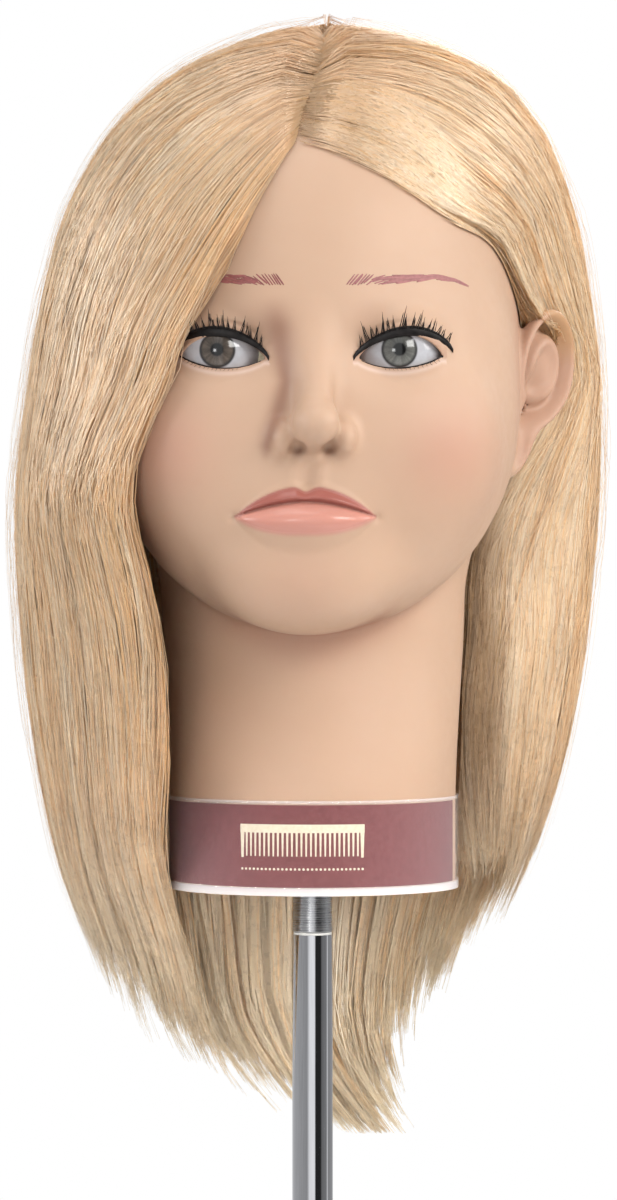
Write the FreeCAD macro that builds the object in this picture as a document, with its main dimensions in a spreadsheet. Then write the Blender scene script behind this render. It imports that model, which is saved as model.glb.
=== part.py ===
"""Hairdresser's training head with rooted long hair, on a chromed pole with a table clamp.

Millimetres. +Z is up and the face looks along -Y. The origin lies on the pole's axis, in the plane where the
clamp sits on the table top. The head lifts off a tapered plug that turns on the pole, the pole tilts on a
locking hinge, and a screw with a tommy bar closes the clamp from below.
"""
import FreeCAD
import Part
import math
import os
import Sketcher
from FreeCAD import Matrix, Placement, Rotation, Vector

os.makedirs("parts", exist_ok=True)
doc = FreeCAD.newDocument("training_head")

# ---------------------------------------------------------------------------------------------------------
# Driving dimensions
# ---------------------------------------------------------------------------------------------------------
DIMENSIONS = [
    # clamp frame
    ("frame_width", 36, "width of the C frame along X"),
    ("arm_thickness", 8, "upper arm"),
    ("arm_reach", 34, "how far the upper arm reaches over the table"),
    ("spine_inner", 31, "throat depth behind the screw axis"),
    ("spine_outer", 40, "back of the spine"),
    ("lower_arm_top", -62, "top of the lower arm"),
    ("lower_arm_bottom", -72, "underside of the lower arm"),
    ("lower_arm_reach", 14, "how far the lower arm runs in front of the screw"),
    ("frame_corner", 9, "outer corner radius of the C"),
    ("boss_radius", 11, "threaded boss"),
    ("boss_top", -60, "top of the boss"),
    ("boss_bottom", -82, "underside of the boss"),
    ("seat_pad", 2.5, "rubber under the upper arm"),
    ("pad_margin", 1.5, "rubber set in from the arm's edge"),
    # clamp screw
    ("screw_radius", 5.9, "crest radius of the screw"),
    ("screw_gap", 0.1, "radial running clearance in the boss"),
    ("screw_pitch", 2, "one turn moves the pad this far"),
    ("thread_depth", 0.9, "depth of the thread"),
    ("thread_top", -56, "uppermost thread"),
    ("thread_turns", 30, "number of turns cut on the screw"),
    ("ball_z", -43, "centre of the screw's ball"),
    ("ball_radius", 5, "ball on the screw's tip"),
    ("ball_gap", 0.1, "clearance round the ball"),
    ("ball_neck", 3.2, "neck under the ball"),
    ("shoulder_z", -51, "top of the screw's full diameter"),
    ("head_top", -118, "top of the screw's head"),
    ("head_bottom", -136, "underside of the screw's head"),
    ("screw_head_radius", 9, "head that carries the tommy bar"),
    # tommy bar
    ("bar_z", -127, "height of the tommy bar"),
    ("bar_radius", 3.5, "tommy bar"),
    ("bar_length", 110, "length of the tommy bar"),
    ("bar_gap", 0.1, "radial clearance of the bar in its hole"),
    ("knob_radius", 6, "knobs on the bar's ends"),
    ("knob_hole_depth", 8, "how far the bar enters each knob"),
    # pressure pad
    ("table_gap", 32, "table top thickness held at rest"),
    ("plate_radius", 16, "pressure plate"),
    ("plate_thickness", 4, "pressure plate"),
    ("plate_rubber", 2.5, "rubber on the pressure plate"),
    ("cup_radius", 8.5, "cup under the plate that holds the ball"),
    ("cup_bottom", -47, "mouth of the cup"),
    ("cup_mouth", 4.2, "radius of the cup's mouth"),
    # tilting hinge
    ("hinge_z", 36, "axis of the tilting hinge"),
    ("fork_base", 6.5, "thickness of the fork's foot"),
    ("fork_half_depth", 13, "half depth of the fork's foot"),
    ("ear_inner", 7.4, "inner face of each ear"),
    ("ear_outer", 13.4, "outer face of each ear"),
    ("ear_radius", 11, "rounded top of each ear"),
    ("tongue_half", 6, "half thickness of the pole's tongue"),
    ("tongue_radius", 10.5, "round end of the tongue"),
    ("disc_inner", 6.1, "inner face of each friction disc"),
    ("disc_outer", 7.3, "outer face of each friction disc"),
    ("disc_radius", 9.5, "friction disc"),
    ("bolt_radius", 4, "hinge bolt"),
    ("bolt_gap", 0.1, "radial clearance on the hinge bolt"),
    ("bolt_head_thickness", 5.3, "hexagon head"),
    ("bolt_head_flats", 13, "hexagon across flats"),
    ("bolt_end", 28, "end of the bolt's thread"),
    ("washer_inner", 13.5, "inner face of the hinge washer"),
    ("washer_outer", 15.1, "outer face of the hinge washer"),
    ("washer_radius", 8.2, "hinge washer"),
    ("hub_inner", 15.2, "inner face of the lever's hub"),
    ("hub_outer", 32, "outer face of the lever's hub"),
    ("hub_radius", 9.2, "lever hub"),
    ("insert_radius", 5.6, "steel insert in the lever"),
    ("insert_end", 29, "outer end of the insert"),
    ("lever_length", 56, "from the hinge to the lever's tip"),
    ("lever_rise", 35, "angle of the lever above level, degrees"),
    ("lever_waist_x", 4.6, "half width of the lever's arm at its waist"),
    ("lever_waist_z", 3.6, "half height of the lever's arm at its waist"),
    ("lever_tip_x", 5.4, "half width of the lever's tip"),
    ("lever_tip_z", 4.2, "half height of the lever's tip"),
    ("fork_screw_radius", 3, "screw that holds the fork on the frame"),
    ("fork_screw_head", 6, "countersunk head"),
    ("fork_screw_gap", 0.15, "clearance round that screw"),
    ("key_radius", 1.7, "socket for the key in that screw"),
    ("key_depth", 2.2, "depth of the key's socket"),
    # pole
    ("collar_clear", 12.5, "hinge axis to the underside of the collar"),
    ("collar_height", 3, "collar under the tube"),
    ("tube_radius", 7.5, "chromed tube"),
    ("tube_bore", 6, "inner radius of the tube"),
    ("tube_top", 267.2, "top of the tube"),
    ("spigot_gap", 0.05, "clearance of both spigots in the tube"),
    ("spigot_length", 30, "both spigots"),
    ("roll_pin_radius", 2, "cross pin through the tube"),
    # turning plug
    ("glide_thickness", 0.8, "plastic glide ring between tube and plug"),
    ("plug_gap", 0.1, "axial clearance over the glide ring"),
    ("plug_length", 72, "tapered plug"),
    ("plug_radius", 7.4, "lower end of the plug"),
    ("plug_top_radius", 6.2, "upper end of the plug"),
    ("pin_radius", 4, "steel pin that the plug turns on"),
    ("pin_height", 65, "top of the pin above the tube"),
    ("bush_outer", 5, "bush in the plug"),
    ("bush_gap", 0.06, "running clearance of the pin in the bush"),
    ("web_z", 59, "underside of the plug's inner web, above its lower end"),
    ("web_thickness", 3, "inner web that the clip holds down"),
    ("clip_thickness", 0.8, "retaining clip"),
    ("clip_radius", 5, "retaining clip"),
    ("pocket_radius", 5.2, "pocket over the web"),
    ("groove_depth", 0.6, "clip groove in the pin"),
    ("cap_thickness", 3, "cap in the plug's top"),
    # head
    ("neck_z", 285, "underside of the neck"),
    ("skin_thickness", 3.5, "soft vinyl skin"),
    ("layer_gap", 0.3, "room left between soft layers"),
    ("socket_radius", 16, "outside of the neck socket's tube"),
    ("socket_height", 66, "height of the neck socket"),
    ("socket_gap", 0.08, "radial room round the plug in the socket"),
    ("socket_room", 1, "room over the plug in the socket"),
    ("flange_thickness", 3.5, "flange that closes the neck"),
    ("neck_radius", 52.8, "neck at its foot"),
    ("ear_out", 82.5, "ear's middle from the middle of the head"),
    ("ear_back", 8, "ear's middle along Y"),
    ("ear_up", 181, "ear's middle above the neck's foot"),
    ("ear_half_thickness", 6, "ear"),
    ("ear_half_depth", 17, "ear"),
    ("ear_half_height", 31, "ear"),
    ("ear_turn", 35, "how far each ear stands off the head, degrees"),
    ("nose_front", -86, "nose's middle along Y"),
    ("nose_up", 166, "nose's middle above the neck's foot"),
    ("nose_half_width", 13, "nose"),
    ("nose_half_depth", 15, "nose"),
    ("nose_half_height", 25, "nose"),
    ("nose_lean", 12, "slope of the nose's bridge, degrees"),
    # label and sleeve
    ("label_bottom", 3, "label above the neck's foot"),
    ("label_height", 29.5, "height of the label"),
    ("label_thickness", 0.3, "printed card"),
    ("label_gap", 0.3, "room between neck and label"),
    ("sleeve_height", 34, "clear sleeve"),
    ("sleeve_thickness", 0.5, "clear sleeve"),
    ("sleeve_gap", 0.1, "room between label and sleeve"),
    ("label_left", 80, "label's left end, degrees from the front"),
    ("label_right", 75, "label's right end, degrees from the front"),
    # eyes and lashes
    ("eye_x", 32.5, "eye centre from the middle"),
    ("eye_up", 192.5, "eye centre above the neck's foot"),
    ("eye_depth", -68, "eye centre along Y"),
    ("eye_half_width", 15.5, "eye insert"),
    ("eye_half_height", 7, "eye insert"),
    ("eye_half_depth", 8.5, "eye insert"),
    ("lash_thickness", 1, "lash strip"),
    ("lash_band", 1.6, "width of the lash strip"),
    ("lash_arc", 17, "radius of the lash strip's arch"),
    # hair
    ("hair_thickness", 9, "the curtain of hair that hangs clear of the neck"),
    ("hair_split", 12, "plane along Y between the side and the back hair"),
    ("crown_up", 262, "underside of the crown's hair above the neck's foot"),
    ("hair_neck_room", 4, "room between hair and neck"),
    ("hair_pole_room", 16, "radius round the pole that stays free of hair"),
    ("tip_narrow_up", -60, "height over the neck's foot where the hair narrows to a tail"),
]
sheet = doc.addObject("Spreadsheet::Sheet", "dims")
for row, (alias, value, note) in enumerate(DIMENSIONS, start=1):
    sheet.set(f"A{row}", alias)
    sheet.set(f"B{row}", str(value))
    sheet.set(f"C{row}", note)
    sheet.setAlias(f"B{row}", alias)
doc.recompute()

made = {}  # node name: the object that is written to parts/


def number(expression):
    """The value of an expression over the sheet's cells."""
    return float(sheet.evalExpression(str(expression)))


def dim(alias):
    """One cell of the sheet."""
    return float(sheet.get(alias))


def keep(name, thing):
    """Marks an object as a finished sub-part, named for its node."""
    thing.Label = name
    made[name] = thing
    return thing


# ---------------------------------------------------------------------------------------------------------
# Part primitives bound to the sheet
# ---------------------------------------------------------------------------------------------------------
AXES = {"X": Rotation(Vector(0, 1, 0), 90), "Y": Rotation(Vector(1, 0, 0), -90), "Z": Rotation()}


def bind(thing, **expressions):
    """Binds properties to expressions. base_x, base_y and base_z stand for the placement's base."""
    for name, expression in expressions.items():
        path = "Placement.Base." + name[-1] if name.startswith("base_") else name
        thing.setExpression(path, str(expression))
    return thing


def cylinder(name, radius, height, x="0", y="0", z="0", axis="Z"):
    rod = doc.addObject("Part::Cylinder", name)
    rod.Placement = Placement(Vector(), AXES[axis])
    return bind(rod, Radius=radius, Height=height, base_x=x, base_y=y, base_z=z)


def box(name, length, width, height, x, y, z):
    block = doc.addObject("Part::Box", name)
    return bind(block, Length=length, Width=width, Height=height, base_x=x, base_y=y, base_z=z)


def cut(name, base, tool):
    result = doc.addObject("Part::Cut", name)
    result.Base, result.Tool = base, tool
    return result


def fuse(name, *shapes):
    result = doc.addObject("Part::MultiFuse", name)
    result.Shapes = list(shapes)
    result.Refine = True
    return result


# ---------------------------------------------------------------------------------------------------------
# PartDesign bodies bound to the sheet
# ---------------------------------------------------------------------------------------------------------
def new_body(name):
    return doc.addObject("PartDesign::Body", name + "_body")


def outline(body, name, plane, points):
    """A closed outline of straight lines on one of the body's origin planes. A point is two expressions."""
    sketch = body.newObject("Sketcher::SketchObject", name)
    support = next(f for f in body.Origin.OriginFeatures if f.Role == plane)
    sketch.AttachmentSupport = [(support, "")]
    sketch.MapMode = "FlatFace"
    corners = [Vector(number(u), number(v), 0) for u, v in points]
    count = len(corners)
    for i in range(count):
        sketch.addGeometry(Part.LineSegment(corners[i], corners[(i + 1) % count]), False)
    for i in range(count):
        sketch.addConstraint(Sketcher.Constraint("Coincident", i, 2, (i + 1) % count, 1))
    for i, point in enumerate(points):
        for kind, expression in zip(("DistanceX", "DistanceY"), point):
            constraint = Sketcher.Constraint(kind, -1, 1, i, 1, number(expression))
            index = sketch.addConstraint(constraint)
            sketch.setExpression(f"Constraints[{index}]", str(expression))
    return sketch


def turned(name, points, axis="V_Axis"):
    """A round piece: an outline of (radius, height) points on the XZ plane, turned about an axis."""
    body = new_body(name)
    sketch = outline(body, name + "_outline", "XZ_Plane", points)
    turn = body.newObject("PartDesign::Revolution", name + "_turn")
    turn.Profile = sketch
    turn.ReferenceAxis = (sketch, [axis])
    turn.Angle = 360
    return body


def padded(body, name, plane, points, length, midplane=True):
    sketch = outline(body, name + "_outline", plane, points)
    pad = body.newObject("PartDesign::Pad", name + "_pad")
    pad.Profile = sketch
    pad.SideType = "Symmetric" if midplane else "One side"
    pad.setExpression("Length", length)
    return pad


def drilled(body, name, plane, radius, u, v, depth, midplane=True, reversed_way=False):
    """A round pocket cut through the body, with its circle bound to the sheet."""
    sketch = body.newObject("Sketcher::SketchObject", name + "_circle")
    support = next(f for f in body.Origin.OriginFeatures if f.Role == plane)
    sketch.AttachmentSupport = [(support, "")]
    sketch.MapMode = "FlatFace"
    centre = Vector(number(u), number(v), 0)
    sketch.addGeometry(Part.Circle(centre, Vector(0, 0, 1), number(radius)), False)
    for kind, expression in (("Radius", radius), ("DistanceX", u), ("DistanceY", v)):
        arguments = (kind, 0) if kind == "Radius" else (kind, -1, 1, 0, 3)
        index = sketch.addConstraint(Sketcher.Constraint(*arguments, number(expression)))
        sketch.setExpression(f"Constraints[{index}]", str(expression))
    pocket = body.newObject("PartDesign::Pocket", name + "_pocket")
    pocket.Profile = sketch
    pocket.SideType = "Symmetric" if midplane else "One side"
    pocket.Reversed = reversed_way
    pocket.setExpression("Length", depth)
    return pocket


# ---------------------------------------------------------------------------------------------------------
# Clamp frame and its rubber seat
# ---------------------------------------------------------------------------------------------------------
def make_clamp_frame():
    body = new_body("clamp_frame")
    arm_top = "dims.seat_pad + dims.arm_thickness"
    outline_points = [
        ("-dims.arm_reach", "dims.seat_pad"),
        ("dims.spine_inner", "dims.seat_pad"),
        ("dims.spine_inner", "dims.lower_arm_top"),
        ("-dims.lower_arm_reach", "dims.lower_arm_top"),
        ("-dims.lower_arm_reach", "dims.lower_arm_bottom"),
        ("dims.spine_outer", "dims.lower_arm_bottom"),
        ("dims.spine_outer", arm_top),
        ("-dims.arm_reach", arm_top),
    ]
    profile = padded(body, "frame", "YZ_Plane", outline_points, "dims.frame_width")
    doc.recompute()
    edges = []
    back = (dim("spine_outer"), dim("spine_inner"))
    for index, edge in enumerate(profile.Shape.Edges, start=1):
        along_x = edge.BoundBox.XLength > dim("frame_width") - 1
        if along_x and any(abs(edge.BoundBox.YMin - y) < 0.01 for y in back):
            edges.append(f"Edge{index}")
    rounded = body.newObject("PartDesign::Fillet", "frame_rounding")
    rounded.Base = (profile, edges)
    rounded.setExpression("Radius", "dims.frame_corner / 2")
    doc.recompute()
    boss = body.newObject("Sketcher::SketchObject", "boss_circle")
    plane = next(f for f in body.Origin.OriginFeatures if f.Role == "XY_Plane")
    boss.AttachmentSupport = [(plane, "")]
    boss.MapMode = "FlatFace"
    boss.setExpression("AttachmentOffset.Base.z", "dims.boss_bottom")
    boss.addGeometry(Part.Circle(Vector(), Vector(0, 0, 1), dim("boss_radius")), False)
    boss.addConstraint(Sketcher.Constraint("Coincident", 0, 3, -1, 1))
    index = boss.addConstraint(Sketcher.Constraint("Radius", 0, dim("boss_radius")))
    boss.setExpression(f"Constraints[{index}]", "dims.boss_radius")
    pad = body.newObject("PartDesign::Pad", "boss_pad")
    pad.Profile = boss
    pad.setExpression("Length", "dims.boss_top - dims.boss_bottom")
    doc.recompute()
    before = body.Tip.Shape.Volume
    drilled(body, "screw_hole", "XY_Plane", "dims.screw_radius + dims.screw_gap", "0", "0",
            "-dims.boss_bottom + 1", midplane=False)
    doc.recompute()
    assert body.Tip.Shape.Volume < before - 1000
    # the hole above cuts only downwards, so the upper arm keeps its metal for the fork's screw
    fork_hole = drilled(body, "fork_screw_hole", "XY_Plane",
                        "dims.fork_screw_radius + dims.fork_screw_gap", "0", "0",
                        "dims.seat_pad + dims.arm_thickness + 1", midplane=False, reversed_way=True)
    doc.recompute()
    chamfer_edges = [
        f"Edge{i}" for i, e in enumerate(fork_hole.Shape.Edges, start=1)
        if len(e.Vertexes) == 1 and abs(e.BoundBox.ZMin - dim("seat_pad")) < 0.01
        and e.BoundBox.XLength < 2 * dim("fork_screw_head")
    ]
    sink = body.newObject("PartDesign::Chamfer", "fork_screw_sink")
    sink.Base = (fork_hole, chamfer_edges)
    sink.setExpression("Size", "dims.fork_screw_head - dims.fork_screw_radius")
    return keep("clamp_frame", body)


def make_seat_pad():
    body = new_body("seat_pad")
    half = "(dims.frame_width / 2 - dims.pad_margin)"
    front = "(-dims.arm_reach + dims.pad_margin)"
    back = "(dims.spine_inner - dims.frame_corner / 2 - 2 * dims.pad_margin)"
    corners = [(f"-{half}", front), (half, front), (half, back), (f"-{half}", back)]
    block = padded(body, "seat", "XY_Plane", corners, "dims.seat_pad", midplane=False)
    doc.recompute()
    upright = [
        f"Edge{i}" for i, e in enumerate(block.Shape.Edges, start=1)
        if e.BoundBox.ZLength > dim("seat_pad") - 0.01
    ]
    rounded = body.newObject("PartDesign::Fillet", "seat_rounding")
    rounded.Base = (block, upright)
    rounded.Radius = 4
    return keep("seat_pad", body)


def make_fork():
    foot_bottom = "dims.seat_pad + dims.arm_thickness"
    foot_top = f"({foot_bottom} + dims.fork_base)"
    foot = box("fork_foot", "2 * dims.ear_outer", "2 * dims.fork_half_depth", "dims.fork_base",
               "-dims.ear_outer", "-dims.fork_half_depth", foot_bottom)
    ears = []
    for side, start in (("left", "-dims.ear_outer"), ("right", "dims.ear_inner")):
        thick = "(dims.ear_outer - dims.ear_inner)"
        ears.append(cylinder(f"ear_{side}_round", "dims.ear_radius", thick, x=start, z="dims.hinge_z",
                             axis="X"))
        ears.append(box(f"ear_{side}_web", thick, "2 * dims.ear_radius", f"dims.hinge_z - {foot_top}",
                        start, "-dims.ear_radius", foot_top))
    solid = fuse("fork_solid", foot, *ears)
    pivot = cylinder("fork_pivot_hole", "dims.bolt_radius + dims.bolt_gap", "2 * dims.ear_outer + 2",
                     x="-dims.ear_outer - 1", z="dims.hinge_z", axis="X")
    tapped = cylinder("fork_tapped_hole", "dims.fork_screw_radius + dims.fork_screw_gap",
                      "dims.fork_base + 2", z=f"{foot_bottom} - 1")
    return keep("tilt_fork", cut("tilt_fork_cut", solid, fuse("fork_holes", pivot, tapped)))


def make_fork_screw():
    """Countersunk screw, flush with the underside of the upper arm, with a hexagon socket."""
    head_bottom = "dims.seat_pad"
    cone_top = f"{head_bottom} + dims.fork_screw_head - dims.fork_screw_radius"
    thread_end = "dims.seat_pad + dims.arm_thickness + dims.fork_base - 0.5"
    points = [
        ("0", f"{head_bottom} + dims.key_depth"),
        ("dims.key_radius", f"{head_bottom} + dims.key_depth"),
        ("dims.key_radius", f"{head_bottom} + 0.1"),
        ("dims.fork_screw_head - 0.4", f"{head_bottom} + 0.1"),
        ("dims.fork_screw_radius", cone_top),
        ("dims.fork_screw_radius", thread_end),
        ("0", thread_end),
    ]
    return keep("fork_screw", turned("fork_screw", points))


# ---------------------------------------------------------------------------------------------------------
# Clamp screw, tommy bar and pressure pad
# ---------------------------------------------------------------------------------------------------------
def make_clamp_screw():
    """A turned blank whose thread is drawn as evenly spaced grooves, with a cross hole for the bar."""
    ball_step = math.sqrt(dim("ball_radius") ** 2 - dim("ball_neck") ** 2)
    neck_z = f"dims.ball_z - {ball_step:.6f}"
    ball_points = [(f"dims.ball_radius * cos({a})", f"dims.ball_z + dims.ball_radius * sin({a})")
                   for a in range(-48, 90, 12)]
    points = [
        ("0", "dims.head_bottom"),
        ("dims.screw_head_radius - 1", "dims.head_bottom"),
        ("dims.screw_head_radius", "dims.head_bottom + 1"),
        ("dims.screw_head_radius", "dims.head_top - 1"),
        ("dims.screw_head_radius - 1", "dims.head_top"),
        ("dims.screw_radius", "dims.head_top"),
        ("dims.screw_radius", "dims.shoulder_z - 1"),
        ("dims.screw_radius - 1", "dims.shoulder_z"),
        ("dims.ball_neck", "dims.shoulder_z"),
        ("dims.ball_neck", neck_z),
        *ball_points,
        ("0", "dims.ball_z + dims.ball_radius"),
    ]
    body = turned("clamp_screw", points)
    doc.recompute()
    root = "dims.screw_radius - dims.thread_depth"
    groove_points = [
        (root, "dims.thread_top"),
        ("dims.screw_radius + 0.2", "dims.thread_top + dims.screw_pitch * 0.4"),
        ("dims.screw_radius + 0.2", "dims.thread_top - dims.screw_pitch * 0.4"),
    ]
    sketch = outline(body, "thread_outline", "XZ_Plane", groove_points)
    groove = body.newObject("PartDesign::Groove", "thread_groove")
    groove.Profile = sketch
    groove.ReferenceAxis = (sketch, ["V_Axis"])
    groove.Angle = 360
    doc.recompute()
    pattern = body.newObject("PartDesign::LinearPattern", "thread_pattern")
    pattern.Originals = [groove]
    axis = next(f for f in body.Origin.OriginFeatures if f.Role == "Z_Axis")
    pattern.Direction = (axis, [""])
    pattern.Reversed = True
    pattern.Mode = "Extent"
    pattern.setExpression("Length", "dims.screw_pitch * (dims.thread_turns - 1)")
    pattern.setExpression("Occurrences", "dims.thread_turns")
    body.Tip = pattern
    doc.recompute()
    assert pattern.Shape.Volume < groove.Shape.Volume - 100
    hole = cylinder("bar_hole", "dims.bar_radius + dims.bar_gap", "2 * dims.screw_head_radius + 2",
                    x="-dims.screw_head_radius - 1", z="dims.bar_z", axis="X")
    return keep("clamp_screw", cut("clamp_screw_cut", body, hole))


def make_tommy_bar():
    bar = cylinder("bar_rod", "dims.bar_radius", "dims.bar_length", x="-dims.bar_length / 2",
                   z="dims.bar_z", axis="X")
    keep("tommy_bar", bar)
    half, radius, depth = "(dims.bar_length / 2)", "dims.knob_radius", "dims.knob_hole_depth"
    for side, sign in (("left", "-1"), ("right", "1")):
        points = [
            (f"{sign} * ({half} - {depth})", "dims.bar_radius"),
            (f"{sign} * ({half} - {depth})", f"{radius} - 1"),
            (f"{sign} * ({half} - {depth} + 1)", radius),
            (f"{sign} * ({half} + 1)", radius),
            (f"{sign} * ({half} + 3.2)", f"{radius} - 1.6"),
            (f"{sign} * ({half} + 4)", "0"),
            (f"{sign} * {half}", "0"),
            (f"{sign} * {half}", "dims.bar_radius"),
        ]
        knob = turned(f"bar_knob_{side}", points, axis="H_Axis")
        knob.setExpression("Placement.Base.z", "dims.bar_z")
        keep(f"bar_knob_{side}", knob)


def make_pressure_pad():
    """A steel plate with a cup that is closed round the screw's ball, and a rubber facing."""
    rubber_top = "-dims.table_gap"
    plate_top = "(-dims.table_gap - dims.plate_rubber)"
    plate_bottom = f"({plate_top} - dims.plate_thickness)"
    cavity = dim("ball_radius") + dim("ball_gap")
    mouth = math.degrees(math.acos(dim("cup_mouth") / cavity))
    steps = 8
    angles = [-mouth + (90 + mouth) * i / steps for i in range(steps + 1)]
    socket_points = [
        (f"(dims.ball_radius + dims.ball_gap) * cos({a:.4f})",
         f"dims.ball_z + (dims.ball_radius + dims.ball_gap) * sin({a:.4f})")
        for a in angles[:-1]
    ]
    points = [
        ("dims.cup_mouth", "dims.cup_bottom - 0.8"),
        ("dims.cup_radius - 1", "dims.cup_bottom - 0.8"),
        ("dims.cup_radius", "dims.cup_bottom + 0.2"),
        ("dims.cup_radius", plate_bottom),
        ("dims.plate_radius - 1", plate_bottom),
        ("dims.plate_radius", f"{plate_bottom} + 1"),
        ("dims.plate_radius", plate_top),
        ("0", plate_top),
        ("0", "dims.ball_z + dims.ball_radius + dims.ball_gap"),
        *reversed(socket_points),
    ]
    keep("pressure_plate", turned("pressure_plate", points))
    rubber = [("0", plate_top), ("dims.plate_radius - 0.5", plate_top),
              ("dims.plate_radius - 0.5", f"{rubber_top} - 0.8"),
              ("dims.plate_radius - 1.3", rubber_top), ("0", rubber_top)]
    keep("plate_rubber", turned("plate_rubber", rubber))


# ---------------------------------------------------------------------------------------------------------
# Tilting hinge: knuckle, friction discs, bolt, washer and lever
# ---------------------------------------------------------------------------------------------------------
def make_hinge():
    thick = "2 * dims.tongue_half"
    eye = cylinder("tongue_eye", "dims.tongue_radius", thick, x="-dims.tongue_half", z="dims.hinge_z",
                   axis="X")
    web = box("tongue_web", thick, "14", "dims.collar_clear + 0.5", "-dims.tongue_half", "-7", "dims.hinge_z")
    collar_z = "(dims.hinge_z + dims.collar_clear)"
    collar = cylinder("knuckle_collar", "dims.tube_radius", "dims.collar_height", z=collar_z)
    spigot = cylinder("knuckle_spigot", "dims.tube_bore - dims.spigot_gap",
                      "dims.collar_height + dims.spigot_length", z=collar_z)
    solid = fuse("knuckle_solid", eye, web, collar, spigot)
    bore = cylinder("knuckle_bore", "dims.bolt_radius + dims.bolt_gap", "2 * dims.tongue_half + 2",
                    x="-dims.tongue_half - 1", z="dims.hinge_z", axis="X")
    cross = cylinder("knuckle_pin_hole", "dims.roll_pin_radius", "4 * dims.tube_bore",
                     x="-2 * dims.tube_bore", z=f"{collar_z} + dims.spigot_length / 2", axis="X")
    keep("hinge_knuckle", cut("hinge_knuckle_cut", solid, fuse("knuckle_holes", bore, cross)))
    for side, start in (("left", "-dims.disc_outer"), ("right", "dims.disc_inner")):
        disc = cylinder(f"disc_{side}_blank", "dims.disc_radius", "dims.disc_outer - dims.disc_inner",
                        x=start, z="dims.hinge_z", axis="X")
        hole = cylinder(f"disc_{side}_hole", "dims.bolt_radius + dims.bolt_gap", "4",
                        x=f"{start} - 1", z="dims.hinge_z", axis="X")
        keep(f"friction_disc_{side}", cut(f"friction_disc_{side}_cut", disc, hole))
    washer = cylinder("washer_blank", "dims.washer_radius", "dims.washer_outer - dims.washer_inner",
                      x="dims.washer_inner", z="dims.hinge_z", axis="X")
    hole = cylinder("washer_hole", "dims.bolt_radius + dims.bolt_gap", "4", x="dims.washer_inner - 1",
                    z="dims.hinge_z", axis="X")
    keep("hinge_washer", cut("hinge_washer_cut", washer, hole))


def make_hinge_bolt():
    head = doc.addObject("Part::Prism", "bolt_head")
    head.Polygon = 6
    head.Placement = Placement(Vector(), AXES["X"])
    bind(head, Circumradius="dims.bolt_head_flats / 2 / cos(30)", Height="dims.bolt_head_thickness",
         base_x="-dims.ear_outer - 0.1 - dims.bolt_head_thickness", base_z="dims.hinge_z")
    shank = cylinder("bolt_shank", "dims.bolt_radius", "dims.bolt_end + dims.ear_outer + 1",
                     x="-dims.ear_outer - 1", z="dims.hinge_z", axis="X")
    keep("hinge_bolt", fuse("hinge_bolt_fused", head, shank))


def make_lever():
    """A clamping lever: a round hub on the bolt and a tapered arm that rises away from it."""
    body = new_body("tilt_lever")
    points = [
        ("dims.hub_inner", "dims.insert_radius"),
        ("dims.hub_inner", "dims.hub_radius"),
        ("dims.hub_outer - 2", "dims.hub_radius"),
        ("dims.hub_outer", "dims.hub_radius - 2"),
        ("dims.hub_outer", "0"),
        ("dims.insert_end + 0.1", "0"),
        ("dims.insert_end + 0.1", "dims.insert_radius"),
    ]
    sketch = outline(body, "hub_outline", "XZ_Plane", points)
    turn = body.newObject("PartDesign::Revolution", "hub_turn")
    turn.Profile = sketch
    turn.ReferenceAxis = (sketch, ["H_Axis"])
    turn.Angle = 360
    doc.recompute()
    arm = body.newObject("PartDesign::AdditiveLoft", "lever_arm")
    stations = [("dims.insert_radius + 0.5", "0.62 * dims.hub_radius", "0.5 * dims.hub_radius"),
                ("dims.lever_length * 0.6", "dims.lever_waist_x", "dims.lever_waist_z"),
                ("dims.lever_length", "dims.lever_tip_x", "dims.lever_tip_z")]
    profiles = []
    for i, (reach, half_x, half_z) in enumerate(stations):
        section = body.newObject("Sketcher::SketchObject", f"lever_section_{i}")
        plane = next(f for f in body.Origin.OriginFeatures if f.Role == "XZ_Plane")
        section.AttachmentSupport = [(plane, "")]
        section.MapMode = "FlatFace"
        section.setExpression("AttachmentOffset.Base.z", f"-({reach})")
        section.setExpression("AttachmentOffset.Base.x", "(dims.hub_inner + dims.hub_outer) / 2 + 1.5")
        a, b = number(half_x), number(half_z)
        section.addGeometry(Part.Ellipse(Vector(a, 0, 0), Vector(0, b, 0), Vector()), False)
        section.addConstraint(Sketcher.Constraint("Coincident", 0, 3, -1, 1))
        profiles.append(section)
    arm.Profile = profiles[0]
    arm.Sections = profiles[1:]
    arm.Refine = True
    doc.recompute()
    body.Placement = Placement(Vector(), Rotation(Vector(1, 0, 0), dim("lever_rise")))
    body.setExpression("Placement.Base.z", "dims.hinge_z")
    keep("tilt_lever", body)
    insert = [
        ("dims.hub_inner", "dims.bolt_radius + dims.bolt_gap"),
        ("dims.hub_inner", "dims.insert_radius"),
        ("dims.insert_end", "dims.insert_radius"),
        ("dims.insert_end", "0"),
        ("dims.bolt_end + 0.2", "0"),
        ("dims.bolt_end + 0.2", "dims.bolt_radius + dims.bolt_gap"),
    ]
    steel = turned("lever_insert", insert, axis="H_Axis")
    steel.setExpression("Placement.Base.z", "dims.hinge_z")
    keep("lever_insert", steel)


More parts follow.
